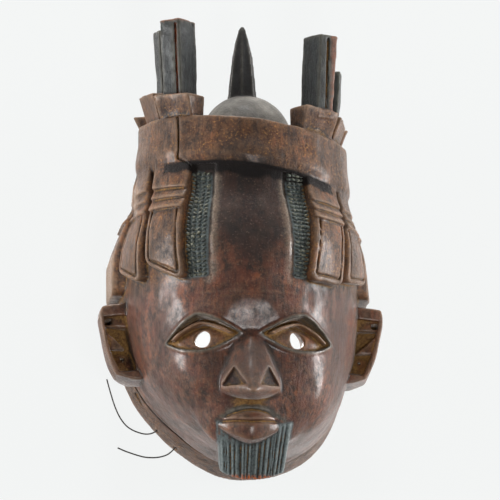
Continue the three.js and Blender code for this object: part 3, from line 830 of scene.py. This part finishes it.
def beard(x, y, z):
    """Measured along the beard from its root, out of its face, and across it."""
    fall_y, fall_z = BEARD_TIP_Y - BEARD_ROOT[1], -BEARD_DROP
    length = math.hypot(fall_y, fall_z)
    dy, dz = y - BEARD_ROOT[1], z - BEARD_ROOT[2]
    along = (dy * fall_y + dz * fall_z) / length
    out = (dy * fall_z - dz * fall_y) / length
    share = np.clip(along / length, 0, 1)
    half = BEARD_HALF_WIDTH + 5 * (1 - share)
    across = np.clip((x - BEARD_ROOT[0]) / half, -1.1, 1.1)
    uneven = across + 0.035 * np.sin(9 * across + 1) + 0.02 * np.sin(23 * across)
    rib = np.abs(np.cos(uneven * math.pi * BEARD_RIDGES / 2))
    face = out - (2.0 * rib - 6.4 * across ** 2)
    back = -out - BEARD_THICKNESS * 0.8 - 6.4 * across ** 2
    edge = along - (length - 0.8 * BEARD_BOW * across ** 2)
    body = meet(meet(face * 0.8, back, 1), np.abs(x - BEARD_ROOT[0]) - half, 1.5)
    return meet(meet(body, edge, 1), 2 - along, 1)


add(muzzle, (-50, -184, 110), (50, -112, 172), 12)
add(beard, (-34, -204, 100), (44, -140, 180), 1)
print("beard has", BEARD_RIDGES, "ribs")

# %% [markdown]
# The lips are two bows that meet in a sharp parting. Their outlines are rules for every X, and a ledge stands
# between them with a notch under the upper one.

# %% Lips
LIP_HALF_LENGTH = 31
MOUTH_Y = -155.5


def lip_edges(x):
    """The mouth's upper and lower outline, and the notch under the upper lip, at each X."""
    across = np.clip(np.abs(x - 1) / LIP_HALF_LENGTH, 0, 1)
    arch = 1 - across ** 1.6
    high = MOUTH_Y + 14.5 * arch - 2.2 * np.exp(-(across / 0.14) ** 2)
    return across, MOUTH_Y - 18 * arch ** 0.85, high, MOUTH_Y + 7.5 * arch


def lips(x, y, z):
    across, low, high, notch = lip_edges(x)
    half = np.maximum((high - low) / 2, 0.3)
    q = np.clip((y - (high + low) / 2) / half, -1, 1)
    crest = 171 - 14 * across ** 2 + 7 * (1 - across ** 2) * np.sqrt(1 - 0.75 * q * q)
    crest = crest - 3.2 * np.exp(-((y - notch) / 1.4) ** 2)
    crest = crest - 3 * np.exp(-((y - MOUTH_Y + 3 * (1 - across)) / 1.2) ** 2)
    body = meet((z - crest) * 0.8, np.abs(y - (high + low) / 2) - half, 1.5)
    return meet(meet(body, np.abs(x - 1) - LIP_HALF_LENGTH, 1), 138 - z, 1)


add(lips, (-36, -182, 135), (38, -134, 190), 1)
print("mouth", 2 * LIP_HALF_LENGTH, "mm long")

# %% [markdown]
# A knife leaves low ripples, and age adds nicks and cracks. The cracks open the left front handle and its
# mouth, the band below them, the right front handle, and the side wall by the jaw. A dark line also parts the
# cheeks from the side walls. Each is cut a few millimetres into the wood, measured from its own surface.

# %% Tool marks, nicks and cracks
CRACKS = [  # route, width, depth, and the box round it
    ([(-62.8, 189), (-62, 160), (-60.5, 128)], 1.3, 7, (-68, 120, 140), (-54, 196, 190)),
    ([(-60.4, 108), (-59.8, 88), (-60.6, 72), (-50, 65.5)], 1.3, 6, (-66, 58, 130), (-46, 110, 190)),
    ([(67.5, 178), (67, 160), (66.5, 138), (66, 119)], 2, 4, (56, 116, 140), (72, 180, 190)),
    ([(-84, -104), (-79, -114), (-76, -121), (-70.5, -130)], 1.3, 7, (-90, -136, 20), (-64, -98, 62)),
]
RIM_LINE_Z = 31
HANDLES_PAST_X = 25


def rim_line():
    """The sharp line where the cheeks meet the mask's side walls."""
    spans, x, y, z = patch((-125, -180, 18), (125, -46, 44))
    bare = egg(x, y, z)
    waver = 1.5 * np.sin(y / 13)
    line = np.maximum(np.abs(z - RIM_LINE_Z - waver) - 1.2, -bare - 1.6 - 1.2 * np.sin(y / 9))
    wood[spans] = meet(wood[spans], -np.maximum(line, y + 58), 0.8)


def crack(route, width, depth, low, high):
    """A narrow slot that follows a route of (x, y) points, some way into the wood from its surface."""
    spans, x, y, z = patch(low, high)
    off = 99.0
    for (ax, ay), (bx, by) in zip(route, route[1:]):
        run = (bx - ax) ** 2 + (by - ay) ** 2
        t = np.clip(((x - ax) * (bx - ax) + (y - ay) * (by - ay)) / run, 0, 1)
        off = np.minimum(off, np.hypot(x - ax - t * (bx - ax), y - ay - t * (by - ay)))
    slot = np.maximum(off - width / 2, -wood[spans] - depth)
    wood[spans] = np.maximum(wood[spans], -slot)


wood += 0.5 * rumple(size=17, seed=3) + 0.26 * rumple(size=7, seed=5)
rim_line()
nicks = np.maximum(rumple(size=5, seed=11) - 0.35, 0) * 3.2
beard_edge = rise(BEARD_TIP_Y + 9, BEARD_TIP_Y + 3, GRID_AXES[1])[None, :, None]
handle_ends = rise(CROWN_TIP_Y - 26, CROWN_TIP_Y - 8, GRID_AXES[1])[None, :, None] * 0.6
wood += nicks * (beard_edge + handle_ends * (np.abs(GRID_AXES[0]) > HANDLES_PAST_X)[:, None, None])
for each in CRACKS:
    crack(*each)
print("cracks", len(CRACKS))

# %% [markdown]
# Inside, the mask is hollow from the rim to the crown, and its wall is about as thick as a finger. The wood
# behind each eye stays thick. The pupils and the cords' holes are cut last, so they go right through, and the
# block is trimmed flat at the rim and just inside the solid's box.

# %% Hollow and holes
WALL_THICKNESS = 13
PUPIL_RADIUS = 7.2
CORD_HOLE_RADIUS = 1.6
CORD_HOLE_HALF_LENGTH = 22
TRIM = ((-120.9, 120.9), (-200.4, 200.4), (0, 211.9))


def hollow(x, y, z):
    head = egg(x, y, np.maximum(z, 0), WALL_THICKNESS)
    profile = np.interp(y, [-40, -34, -10, 20, 50, 72, 83, 86], [1, 45, 62, 71, 71, 60, 38, 1])
    crown = np.hypot(x, z - AXIS_Z) - profile.astype(np.float32)
    crown = meet(crown, np.abs(y - 23) - 63, 3)
    space = join(head, crown * 0.85, 6)
    for side in SIDES:
        a, b, c = eye_place(side, x, y, z)
        space = np.maximum(space, -meet(almond(a, b) - 4, np.abs(c + 11) - 6, 2))
    return space


def cut_pupil(side):
    """A round hole through the lens, which widens towards the inside."""
    middle_x, middle_y = side * EYE["x"], EYE["y"]
    spans, *place = patch((middle_x - 20, middle_y - 18, 110), (middle_x + 20, middle_y + 16, 200))
    a, b, c = eye_place(side, *place)
    hole = (np.hypot(a, b + 1.5) - PUPIL_RADIUS - 0.45 * np.clip(-c - 4, 0, 16)) * 0.9
    wood[spans] = meet(wood[spans], -np.maximum(hole, np.abs(c) - 60), 1)


def cut_cord_hole(route):
    start, end = np.array(route[0]), np.array(route[2])
    along = (end - start) / np.linalg.norm(end - start)
    middle = start + 12 * along

    def form(x, y, z):
        away = (x - middle[0], y - middle[1], z - middle[2])
        run = sum(a * t for a, t in zip(away, along))
        off = np.sqrt(np.maximum(sum(a * a for a in away) - run * run, 0))
        return np.maximum(off - CORD_HOLE_RADIUS, np.abs(run) - CORD_HOLE_HALF_LENGTH)

    cut(form, middle - 24, middle + 24)


cut(hollow, (-110, -175, -4), (112, 92, 182))
for side in SIDES:
    cut_pupil(side)
for route in (CORD_UPPER, CORD_LOWER):
    cut_cord_hole(route)
for axis, (low, high) in enumerate(TRIM):
    place = GRID_AXES[axis].reshape([-1 if k == axis else 1 for k in range(3)])
    np.maximum(wood, np.maximum(low - place, place - high), out=wood)
print("wood", round(float((wood < 0).sum()) * STEP ** 3 / 1000), "cubic cm")

# %% [markdown]
# The field becomes a mesh where it passes through zero. That gives one small face for each grid step, far
# more than flat wood needs, so Decimate joins the faces where the surface is smooth.

# %% Mesh from the field
MOST_TRIANGLES = 190000


def plain_object(name, mesh):
    """An object with its place in its mesh, as every finished piece here has."""
    piece = bpy.data.objects.new(name, mesh)
    bpy.context.scene.collection.objects.link(piece)
    return piece


def settled(piece):
    """The piece's mesh with its modifiers applied, and no modifier left on it."""
    mesh = bpy.data.meshes.new_from_object(piece.evaluated_get(bpy.context.evaluated_depsgraph_get()))
    piece.modifiers.clear()
    piece.data = mesh
    return mesh


def mesh_of_field(name):
    """The field near zero as an OpenVDB grid, then as triangles that face outward."""
    reach = 3 * STEP
    grid = openvdb.FloatGrid(reach)
    grid.copyFromArray(np.clip(wood, -reach, reach))
    points, triangles, quads = grid.convertToPolygons(isovalue=0.0, adaptivity=0.0)
    points = (points * STEP + GRID_LOW) * MM
    halves = np.concatenate([quads[:, [0, 1, 2]], quads[:, [0, 2, 3]], triangles]).astype(np.int32)
    mesh = bpy.data.meshes.new(name)
    mesh.from_pydata(points, [], halves[:, ::-1])
    piece = plain_object(name, mesh)
    thin = piece.modifiers.new("thin", "DECIMATE")
    thin.ratio = min(1.0, MOST_TRIANGLES / len(halves))
    print(name, "from", len(halves), "triangles")
    return piece


mask = mesh_of_field("carved_mask")
mask_mesh = settled(mask)
mask_mesh.name = "carved_mask"
print("carved mask has", len(mask_mesh.polygons), "faces and", len(mask_mesh.vertices), "points")

# %% [markdown]
# Dirt gathers in hollows, painted shade darkens them, and polish wears the edges, so the material has to know
# where those are. The field is averaged over a small cube round each place: the average is below zero in a
# hollow, where wood stands all round, and above zero on an edge.

# %% Hollows and edges
NEAR_ENOUGH = 12


def blurred(values, reach):
    """The mean over a small cube of grid points."""
    for axis in range(3):
        size = values.shape[axis]
        sums = np.cumsum(values, axis=axis, dtype=np.float64)
        high = np.take(sums, np.minimum(np.arange(size) + reach, size - 1), axis)
        low = np.take(sums, np.maximum(np.arange(size) - reach - 1, 0), axis)
        values = ((high - low) / (2 * reach + 1)).astype(np.float32)
    return values


def read_field(values, points, step):
    """The field's value at each point, from the eight grid points round it."""
    at = (points - GRID_LOW) / step
    cell = np.clip(at.astype(int), 0, np.array(values.shape) - 2)
    share = np.clip(at - cell, 0, 1)
    total = 0
    for corner in np.ndindex(2, 2, 2):
        weight = np.prod(np.where(corner, share, 1 - share), axis=1)
        total = total + weight * values[tuple((cell + corner).T)]
    return total


points = np.empty(len(mask_mesh.vertices) * 3)
mask_mesh.vertices.foreach_get("co", points)
points = points.reshape(-1, 3) / MM
px, py, pz = points.T
near = np.clip(wood, -NEAR_ENOUGH, NEAR_ENOUGH)
fine = read_field(blurred(near, 2), points, STEP)
coarse = read_field(blurred(near[::2, ::2, ::2], 3), points, 2 * STEP)
print("mean over", len(points), "points", round(float(fine.mean()), 2), round(float(coarse.mean()), 2))

# %% [markdown]
# The other masks come from places: the same forms that made the wood tell where its paint belongs. Paint
# could be brushed on by hand, but a rule follows the forms when their sizes change. Each mask is a number
# from 0 to 1 for every point of the mesh.

# %% Where paint lies
def unit(values):
    return np.clip(values, 0, 1)


def inside(form, soft=1.2):
    """1 where the points lie in or on a form, and 0 away from it."""
    return unit(1 - (form(px, py, pz) - 0.9) / soft)


def hair_share():
    low_down = unit(2.4 - read_field(bare_head, points, STEP))
    return unit(0.9 - both_strips(px, py, pz)) * low_down * (pz > AXIS_Z) * (py < BAND_LOW_Y - 2)


def painted_lines():
    """The dark paint round the eyes and on the upper lip."""
    share = 0
    for side in SIDES:
        a, b, c = eye_place(side, px, py, pz)
        line = 1 - (np.abs(almond(a, b) - 0.6) - 0.9) / 1.2
        share = np.maximum(share, unit(line) * (c > -7) * (c < 14))
    across, _, high, notch = lip_edges(px)
    lip_line = unit(1 - (np.abs(py - (high + notch) / 2) - (high - notch) / 2 - 0.6))
    return np.maximum(share, lip_line * (across < 1) * (pz > 140))


def handle_share():
    share = 0
    for knife in KNIVES:
        if "handle_top" in knife:
            x, z = around(knife.get("at", knife["turn"]), knife.get("out", KNIFE_OUT) - 2)
            away = np.hypot(px - x - knife.get("aside", 0) - knife["lean"] / 2, pz - z)
            share = np.maximum(share, unit((19 - away) / 3) * rise(-1, 1, py - knife["mouth_top"]))
    return share


hair, beard_paint = hair_share(), inside(beard)
black = np.maximum.reduce([handle_share(), inside(spike), beard_paint, hair])
inner = unit(1.5 - hollow(px, py, pz) / 1.2)
print("painted black", round(float(black.mean()), 3), "of the points")

# %% [markdown]
# Age and painted shade are laid out in the same way: painted shade under the band and in the line between
# cheek and side wall, a darker spike, the old stain on the forehead, painted shade in the nostrils, ochre
# dirt where fingers don't reach, and fresh wood where a chip or a crack has opened it.

# %% Where stains, painted shade and dirt lie
def forehead_share():
    angle, _ = on_surface(FOREHEAD_TURN, px, pz)
    on_plate = (py > -40) * (py < BAND_LOW_Y - 6) * (pz > AXIS_Z)
    return unit((math.radians(24) - np.abs(angle)) * 30) * on_plate


def painted_shade_and_dark_spike_share():
    """Painted shade under the band and in the line between cheek and side wall, and a darker tone on the
    spike.
    """
    below = BAND_LOW_Y - 8.5 * (px / BAND_RADIUS) ** 2 - (py - BAND_SLOPE * px)
    reach = 12 - 6 * np.abs(px / 70) + 1.5 * np.sin(px / 3.1) * np.sin(px / 7.3)
    # painted shade under the band's lower edge, at the front only
    under_band = rise(-4, -1.5, below) * rise(reach, reach * 0.7, below) * (np.abs(px) < 72) * (pz > 130)
    # painted shade along the line between cheek and side wall, on the left only
    seam = unit(2 - np.abs(pz - RIM_LINE_Z - 1.5 * np.sin(py / 13))) * (py < -60) * (px < 0) * 0.8
    return np.maximum(np.maximum(under_band, seam), inside(spike) * (py > SPIKE_BASE_Y) * 0.55)


def stain_and_painted_shade_share():
    """The old stain on the forehead, which runs down to a point, painted shade in the nostrils, and darker
    sides of the nose.
    """
    forehead = unit((py + 34 - 0.9 * np.abs(px - 2)) / 18) * rise(-44, -30, py) * forehead_share()
    # painted shade: the deep parts of the nostril hollows are darkened
    nostrils = (np.abs(np.abs(px) - 14) < 11) * (py > -131) * (py < -106) * (pz > 165)
    nostrils = nostrils * unit(-fine * 1.5 - 0.1)
    nose_sides = 0.75 * unit(1.3 - np.hypot(px / 22, (py + 108) / 30)) * (pz > 172)
    return np.maximum.reduce([forehead, nostrils * 1.3, nose_sides])


def ochre_share():
    """Pale ochre dirt in the eyes, under the nose and in the ears."""
    eyes = [unit(1 - almond(*eye_place(side, px, py, pz)[:2]) / 2) * (pz > 120) for side in SIDES]
    under_nose = unit(1.6 - np.hypot(px / 16, (py + 141.5) / 4.5)) * (pz > 150) * (pz < 192)
    in_ears = (np.abs(px) > 96) * (pz > 70) * (pz < 89.2) * (py > -101) * (py < -44)
    return np.maximum.reduce([*eyes, under_nose, in_ears])


def fresh_share():
    """Bare orange wood on the beard's edge, in the cracks of the handles and on their worn ends."""
    beard_chips = rise(BEARD_TIP_Y + 4.5, BEARD_TIP_Y + 2, py) * (fine > 0.05)
    left_crack = unit(2.2 - np.abs(px + 61.8)) * (py > 122) * (py < 192) * (pz > 150) * (fine < -0.15)
    right_crack = unit(3.5 - np.abs(px - 73.5)) * (py > 116) * (pz > 140) * 0.3
    ends = rise(CROWN_TIP_Y - 10, CROWN_TIP_Y - 7, py) * (np.abs(px) > HANDLES_PAST_X) * (fine > 0.3) * 0.3
    return np.maximum.reduce([beard_chips, left_crack, right_crack, ends])


forehead, painted_shade_and_dark_spike = forehead_share(), painted_shade_and_dark_spike_share()
print("painted_shade_and_dark_spike_cover", round(float(painted_shade_and_dark_spike.mean()), 3), "of the points")

# %% [markdown]
# Each mask is kept at the mesh's points under a name that the material reads.

# %% Masks on the mesh
masks = {
    # hollows, where ochre dirt gathers and shade is painted
    "hollow": unit(-fine * 1.4) * 0.7 + unit(-coarse * 0.35) * 0.6,
    "edge": unit(fine * 1.3),
    "black": black,
    "lines": painted_lines(),
    "grey": inside(dome) * (py > CROWN_FLOOR_Y) * (1 - black),
    "inner": inner,
    "skin": np.maximum(rise(-26, -46, py) * rise(24, 30, pz), forehead) * (1 - inner),
    "painted_shade_and_dark_spike": painted_shade_and_dark_spike,
    "stain_and_painted_shade": stain_and_painted_shade_share(),
    "dust": unit(1 - np.abs(both_strips(px, py, pz) - 2.5) / 6.5) * forehead * (1 - painted_shade_and_dark_spike),
    "dusty": np.maximum(beard_paint, hair),
    "ochre": ochre_share(),
    "fresh": fresh_share(),
}
for name, values in masks.items():
    layer = mask_mesh.attributes.new(name, "FLOAT", "POINT")
    layer.data.foreach_set("value", np.ascontiguousarray(values, dtype=np.float32))
print({name: round(float(values.mean()), 3) for name, values in masks.items()})

# %% [markdown]
# The wood is dark and reddish, and polished by hands. Its pattern could be a picture, but noises in Object
# coordinates need none and fit every side. The grain runs from crown to chin, so its noise is stretched along
# Y. The others are patches of several sizes, which no two places share.

# %% Noises of the wood
paint = Paint("carved_wood")
mark = {name: paint.attribute(name) for name in masks}
grain = paint.noise(2.4, 4.0, 0.65, stretch=(1, 0.09, 1))
blotch = paint.noise(30, 4.0, 0.65, stretch=(1, 0.6, 1))
cloud = paint.noise(12, 3.0, 0.7, stretch=(1, 0.8, 1))
mottle = paint.noise(6, 6.0, 0.8, stretch=(1, 0.75, 1))
scratch = paint.noise(5, 3.0, 0.8, stretch=(0.12, 1, 1))
speck = paint.noise(2, 4.0, 0.8)
print("masks read by the wood", len(mark))

# %% [markdown]
# Bare wood: a redder, more polished tone on the face than on the headdress, then dark and orange patches, the
# grain, the old stain with painted shade in the nostrils, dust, scratches, specks, and last the pale worn
# edges. Each coat has a share, which says how much of the coats below it hides.

# %% Bare wood
dull = paint.coats(sheen(36, 21, 12), (mottle.step(0.36, 0.64), sheen(104, 70, 42)),
                   (cloud.step(0.4, 0.64) * 0.6, sheen(82, 45, 21)))
red = paint.coats(sheen(30, 16, 9), (mottle.step(0.35, 0.65), sheen(98, 58, 34)),
                  (cloud.step(0.4, 0.64) * 0.65, sheen(84, 36, 16)))
stain_and_painted_shade_cover = (mark["stain_and_painted_shade"] * (0.65 + blotch.step(0.35, 0.6) * 0.4)).clamp()
dust = (mark["dust"] * (0.25 + speck.step(0.35, 0.65) * 0.75)).clamp()
bare_wood = paint.coats(
    paint.mix(mark["skin"], dull, red),
    ((1 - blotch.step(0.3, 0.54)) * 0.6, sheen(22, 12, 9)),
    (blotch.step(0.48, 0.66) * mottle.step(0.46, 0.66) * 0.5, sheen(150, 78, 36)),
    (grain.step(0.5, 0.66) * 0.35, sheen(18, 10, 7)),
    # the old stain on the forehead and the darker nose, with painted shade in the nostrils
    (stain_and_painted_shade_cover, paint.mix(mottle, sheen(10, 6, 4), sheen(40, 25, 19))),
    (dust * 0.8, sheen(126, 114, 100)),
    (scratch.step(0.66, 0.74) * 0.3, sheen(140, 108, 84)),
    (speck.step(0.56, 0.74) * 0.45, sheen(152, 118, 92)),
    ((1 - speck.step(0.3, 0.46)) * 0.75, sheen(14, 8, 6)),
    ((mark["edge"] * (0.3 + mottle * 0.7)).clamp() * 0.8, sheen(146, 118, 94)),
)
print("bare wood takes", len(paint.tree.nodes), "nodes")

# %% [markdown]
# Black paint covers the handles, the spike, the hair and the beard. It is worn grey at its edges, and pale
# dust sits on the ridges of hair and beard. Over all of this lie painted shade under the band and by the jaw,
# which also darkens the spike, the lines round the eyes, the dome's grey, the paler wood inside, painted
# shade in the hollows, ochre dirt in them, and a few chips that show fresh wood.

# %% Paint and dirt
dusty = mark["dusty"] * (0.5 + mark["edge"] * 0.9) * speck.step(0.25, 0.55)
black_paint = paint.coats(
    sheen(10, 12, 12),
    (mottle.step(0.35, 0.65), sheen(28, 35, 36)),
    (grain.step(0.45, 0.65) * 0.6, sheen(4, 5, 4)),
    ((mark["edge"] * 0.8 * mottle + speck.step(0.6, 0.8) * 0.2).clamp(), sheen(120, 116, 102)),
    (dusty.clamp() * 0.85, sheen(116, 127, 127)),
)
line_colour = paint.mix(mottle.step(0.35, 0.65), sheen(34, 36, 32), sheen(74, 74, 64))
painted_shade_and_dark_spike_cover = (mark["painted_shade_and_dark_spike"] * (0.95 + blotch * 0.5)).clamp()
dirt = (mark["hollow"] * 1.1 + mark["ochre"] * 0.55) * (0.35 + speck * 0.5 + mottle * 0.5) * (1 - painted_shade_and_dark_spike_cover)
dirt = dirt.step(0.3, 0.95)
plain_wood = (1 - mark["skin"]) * (1 - mark["black"]) * (1 - mark["grey"]) * (1 - painted_shade_and_dark_spike_cover)
colour = paint.coats(
    bare_wood,
    (mark["black"], black_paint),
    # painted shade under the band and by the jaw, nearly black with a few ochre flecks; on the spike it only
    # darkens the paint
    (painted_shade_and_dark_spike_cover, paint.mix(speck.step(0.62, 0.74), sheen(13, 6, 4), sheen(64, 44, 27))),
    (mark["lines"] * (0.5 + speck * 0.6), line_colour),
    (mark["grey"] * 0.85, paint.mix(blotch.step(0.3, 0.7), sheen(82, 80, 75), sheen(146, 144, 136))),
    (mark["inner"], paint.mix(blotch, sheen(70, 46, 30), sheen(116, 88, 60))),
    # painted shade: the hollows are darkened to near black
    (mark["hollow"].step(0.1, 0.4) * 0.75, sheen(18, 11, 7)),
    (dirt * 0.7, paint.mix(speck.step(0.3, 0.7), sheen(86, 58, 27), sheen(160, 120, 66))),
    (mark["fresh"] * speck.step(0.35, 0.5), sheen(170, 86, 36)),
    (speck.step(0.54, 0.64) * cloud.step(0.44, 0.58) * plain_wood * 0.7, sheen(158, 110, 48)),
)
print("with paint and dirt", len(paint.tree.nodes), "nodes")

# %% [markdown]
# Hands polish what stands out, and dirt and the painted shade stay dull. The roughness follows that, and a
# thin coat over the wood gives the soft shine of old wax. A little sheen whitens the wood where it turns
# away, and a Bump node gives the surface its fine ridges.

# %% Gloss and fine relief
worn = mottle.step(0.3, 0.7) * 0.5 + blotch.step(0.3, 0.7) * 0.5
wax = worn * (0.3 + mark["skin"] * 0.25) * (1 - dirt) * (1 - painted_shade_and_dark_spike_cover) * (1 - stain_and_painted_shade_cover * 0.6)
paint.shade(Base_Color=colour, Coat_Weight=(wax * (1 - mark["grey"] * 0.7)).clamp(),
            Roughness=(0.5 - worn * 0.16 + dirt * 0.25 + painted_shade_and_dark_spike_cover * 0.3 + speck * 0.14).clamp())
paint.shade(Coat_Roughness=0.24, Specular_IOR_Level=0.25, Sheen_Weight=0.35, Sheen_Roughness=0.22,
            Sheen_Tint=(0.9, 0.84, 0.8, 1))
paint.bump(mottle * 0.4 + grain * 0.3 + speck * 0.3, 0.95, 2.2)
mask_mesh.materials.clear()
mask_mesh.materials.append(paint.material)
print("carved wood", len(paint.tree.nodes), "nodes")

# %% [markdown]
# Each hair strip is covered with rows of small nubs, as plaited hair is carved. They repeat, so Geometry
# Nodes place them. The tree puts a small rounded block on each point that it is given, stands it on the head,
# and turns and sizes it a little at random.

# %% Hair material and nub tree
NUB_SIZES = (("Length", "Float", 3.3 * MM), ("Width", "Float", 5.6 * MM), ("Height", "Float", 4.2 * MM),
             ("Uneven", "Float", 0.14), ("Seed", "Int", 4))


def hair_paint():
    paint = Paint("plaited_hair")
    speck = paint.noise(2.4, 3.0, 0.6)
    worn = paint.noise(9, 3.0, 0.6)
    colour = paint.coats(sheen(26, 30, 28), (speck.step(0.35, 0.7), sheen(88, 95, 88)),
                         (worn.step(0.45, 0.65) * speck.step(0.4, 0.6) * 0.7, sheen(132, 128, 104)))
    paint.shade(Base_Color=colour, Roughness=0.5 + speck * 0.2)
    paint.bump(speck, 0.4, 0.3)
    return paint.material


def nub_tree(material):
    tree = bpy.data.node_groups.new("nubs", "GeometryNodeTree")
    tree.interface.new_socket("Points", in_out="INPUT", socket_type="NodeSocketGeometry")
    for name, kind, value in NUB_SIZES:
        tree.interface.new_socket(name, in_out="INPUT", socket_type="NodeSocket" + kind).default_value = value
    tree.interface.new_socket("Nubs", in_out="OUTPUT", socket_type="NodeSocketGeometry")
    geo = Nodes(tree)
    given = tree.nodes.new("NodeGroupInput")
    result = tree.nodes.new("NodeGroupOutput")

    def asked(name):
        return Value(geo, given.outputs[name])

    def varied(least, most, seed):
        kind = {"data_type": "FLOAT"}
        return geo.node("FunctionNodeRandomValue", kind, Min=least, Max=most, Seed=seed, out=1)

    size = geo.node("ShaderNodeCombineXYZ", {}, asked("Width"), asked("Length"), asked("Height"))
    block = geo.node("GeometryNodeMeshCube", {}, size)
    block = geo.node("GeometryNodeSubdivisionSurface", {}, block, 1)
    out_way = geo.node("GeometryNodeInputNamedAttribute", {"data_type": "FLOAT_VECTOR"}, "out")
    tilt = geo.node("GeometryNodeInputNamedAttribute", {"data_type": "FLOAT"}, "tilt")
    stand = geo.node("FunctionNodeAlignRotationToVector", {"axis": "Z", "pivot_axis": "X"}, Vector=out_way)
    spin = geo.node("ShaderNodeCombineXYZ", {}, 0.0, 0.0, tilt + varied(-0.2, 0.2, asked("Seed")))
    spin = geo.node("FunctionNodeEulerToRotation", {}, spin)
    stand = geo.node("FunctionNodeRotateRotation", {"rotation_space": "LOCAL"}, stand, spin)
    grown = varied(1 - asked("Uneven"), 1 + asked("Uneven"), asked("Seed") + 1)
    nubs = geo.node("GeometryNodeInstanceOnPoints", {}, Points=asked("Points"), Instance=block,
                    Rotation=stand, Scale=grown)
    nubs = geo.node("GeometryNodeRealizeInstances", {}, nubs)
    nubs = geo.node("GeometryNodeSetShadeSmooth", {}, nubs)
    nubs = geo.node("GeometryNodeSetMaterial", {}, nubs, Material=material)
    geo.feed(result.inputs[0], nubs)
    return tree


nubs = nub_tree(hair_paint())
sockets = {item.name: item.identifier for item in nubs.interface.items_tree if item.in_out == "INPUT"}
print("nub tree takes", ", ".join(sockets))

# %% [markdown]
# Python gives the tree a bare point for every nub, with the way out of the head and a tilt. The modifier's
# result then becomes a plain mesh, and the modifier is removed, because the export keeps no instances.

# %% Plaited hair
HAIR_ROWS = 26
HAIR_COLUMNS = 5
NUB_LIFT = 0.9


def surface_point(angle, y):
    """Where a ray that comes in to the crown's axis meets the bare head."""
    out = np.arange(112, 76, -0.25)
    ray = np.stack([out * math.sin(angle), np.full_like(out, y), AXIS_Z + out * math.cos(angle)], 1)
    return ray[np.argmax(read_field(bare_head, ray, STEP) < 0)]


def hair_points(strip, slant):
    places, outs, tilts = [], [], []
    for row in range(HAIR_ROWS):
        y = HAIR_FOOT_Y + 2.5 + row * (BAND_LOW_Y - 9 - HAIR_FOOT_Y) / (HAIR_ROWS - 1)
        half = hair_half_width(strip, y) - 1.5
        for column in range(HAIR_COLUMNS):
            across = (column - (HAIR_COLUMNS - 1) / 2) / HAIR_COLUMNS * 2
            angle = math.radians(strip["turn"]) + across * half / HAIR_OUT
            out = np.array((math.sin(angle), 0.0, math.cos(angle)))
            places.append((surface_point(angle, y) + NUB_LIFT * out) * MM)
            outs.append(out)
            tilts.append(math.radians(slant * (1 if across > 0 else -1)))
    mesh = bpy.data.meshes.new("hair_points")
    mesh.from_pydata(places, [], [])
    mesh.attributes.new("out", "FLOAT_VECTOR", "POINT").data.foreach_set("vector", np.ravel(outs))
    mesh.attributes.new("tilt", "FLOAT", "POINT").data.foreach_set("value", tilts)
    return mesh


for seed, (name, strip, slant) in enumerate((("hair_left", HAIR_LEFT, 30), ("hair_right", HAIR_RIGHT, 8)), 4):
    hair_piece = plain_object(name, hair_points(strip, slant))
    grow = hair_piece.modifiers.new("nubs", "NODES")
    grow.node_group = nubs
    grow[sockets["Seed"]] = seed
    hair_mesh = settled(hair_piece)
    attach(hair_piece, "root")
    print(name, "has", len(hair_mesh.polygons), "faces")

# %% [markdown]
# The carving now goes to its place in the frame. It rides on the one body, and it stands for the solid called
# mask. Smooth shading hides the small faces of the mesh.

# %% Put the carving in the frame
mask_mesh.shade_smooth()
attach(mask, "root")
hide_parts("mask")
print("carving rides on the root body and replaces the solid")

# %% [markdown]
# The mask lies on a plain pale floor, as on a light table. The floor glows a little, so that it stays even
# and light shines up through the pierced pupils. As stage, it is no part of the object.

# %% Floor
FLOOR_REACH = 3
corners = [(x * FLOOR_REACH, y * FLOOR_REACH, 0) for x, y in CORNERS]
floor_mesh = bpy.data.meshes.new("floor")
floor_mesh.from_pydata(corners, [], [(0, 1, 2, 3)])
floor = plain_object("floor", floor_mesh)
paper = Paint("paper")
paper.shade(Base_Color=sheen(44, 46, 46), Roughness=0.9, Emission_Color=(0.985, 1, 0.995, 1),
            Emission_Strength=0.86)
floor_mesh.materials.append(paper.material)
print("floor", 2 * FLOOR_REACH, "m wide")

# %% [markdown]
# Polished wood shows its form by the lights it mirrors. Two broad lamps stand low at the sides and draw the
# pale edges of the cheeks and sheaths. One behind the crown lights the dome and the band's top, and a small
# one over the chin gives the brow its soft spot. A weak lamp in the hollow stands for the light that the
# real floor throws back, so the pupils don't look into a black room.

# %% Lamps
LAMPS = {  # place and size in metres, and power in watts
    "left": ((-1.5, 0.0, 0.08), 0.8, 46),
    "right": ((1.5, 0.05, 0.08), 0.8, 50),
    "behind": ((-0.1, 1.6, 0.36), 0.4, 34),
    "front": ((0.1, -0.5, 1.4), 0.35, 9),
}
LAMPS_LOOK_AT = Vector((0, 0, 0.08))
HOLLOW_LAMP = ((0, -0.03, 0.09), 0.02, 1.2)


def placed_lamp(name, kind, place, power):
    data = bpy.data.lights.new(name, kind)
    data.energy = power
    lamp = bpy.data.objects.new(name, data)
    bpy.context.scene.collection.objects.link(lamp)
    lamp.location = place
    return lamp


for name, (place, size, power) in LAMPS.items():
    lamp = placed_lamp(name, "AREA", place, power)
    lamp.data.shape = "DISK"
    lamp.data.size = size
    lamp.rotation_euler = (LAMPS_LOOK_AT - Vector(place)).to_track_quat("-Z", "Y").to_euler()
place, size, power = HOLLOW_LAMP
placed_lamp("hollow", "POINT", place, power).data.shadow_soft_size = size
print("lamps", len(LAMPS) + 1)

# %% [markdown]
# A faint even light from all round keeps the shadows soft. The Standard view shows colours as they are
# mixed, which suits a plain pale backdrop better than a film-like view that greys it.

# %% Light all round
WORLD_STRENGTH = 0.12
world = bpy.data.worlds.new("studio")
bpy.context.scene.world = world
world.use_nodes = True
background = world.node_tree.nodes["Background"]
background.inputs["Color"].default_value = (1, 1, 1, 1)
background.inputs["Strength"].default_value = WORLD_STRENGTH
bpy.context.scene.view_settings.view_transform = "Standard"
print("world light", WORLD_STRENGTH)
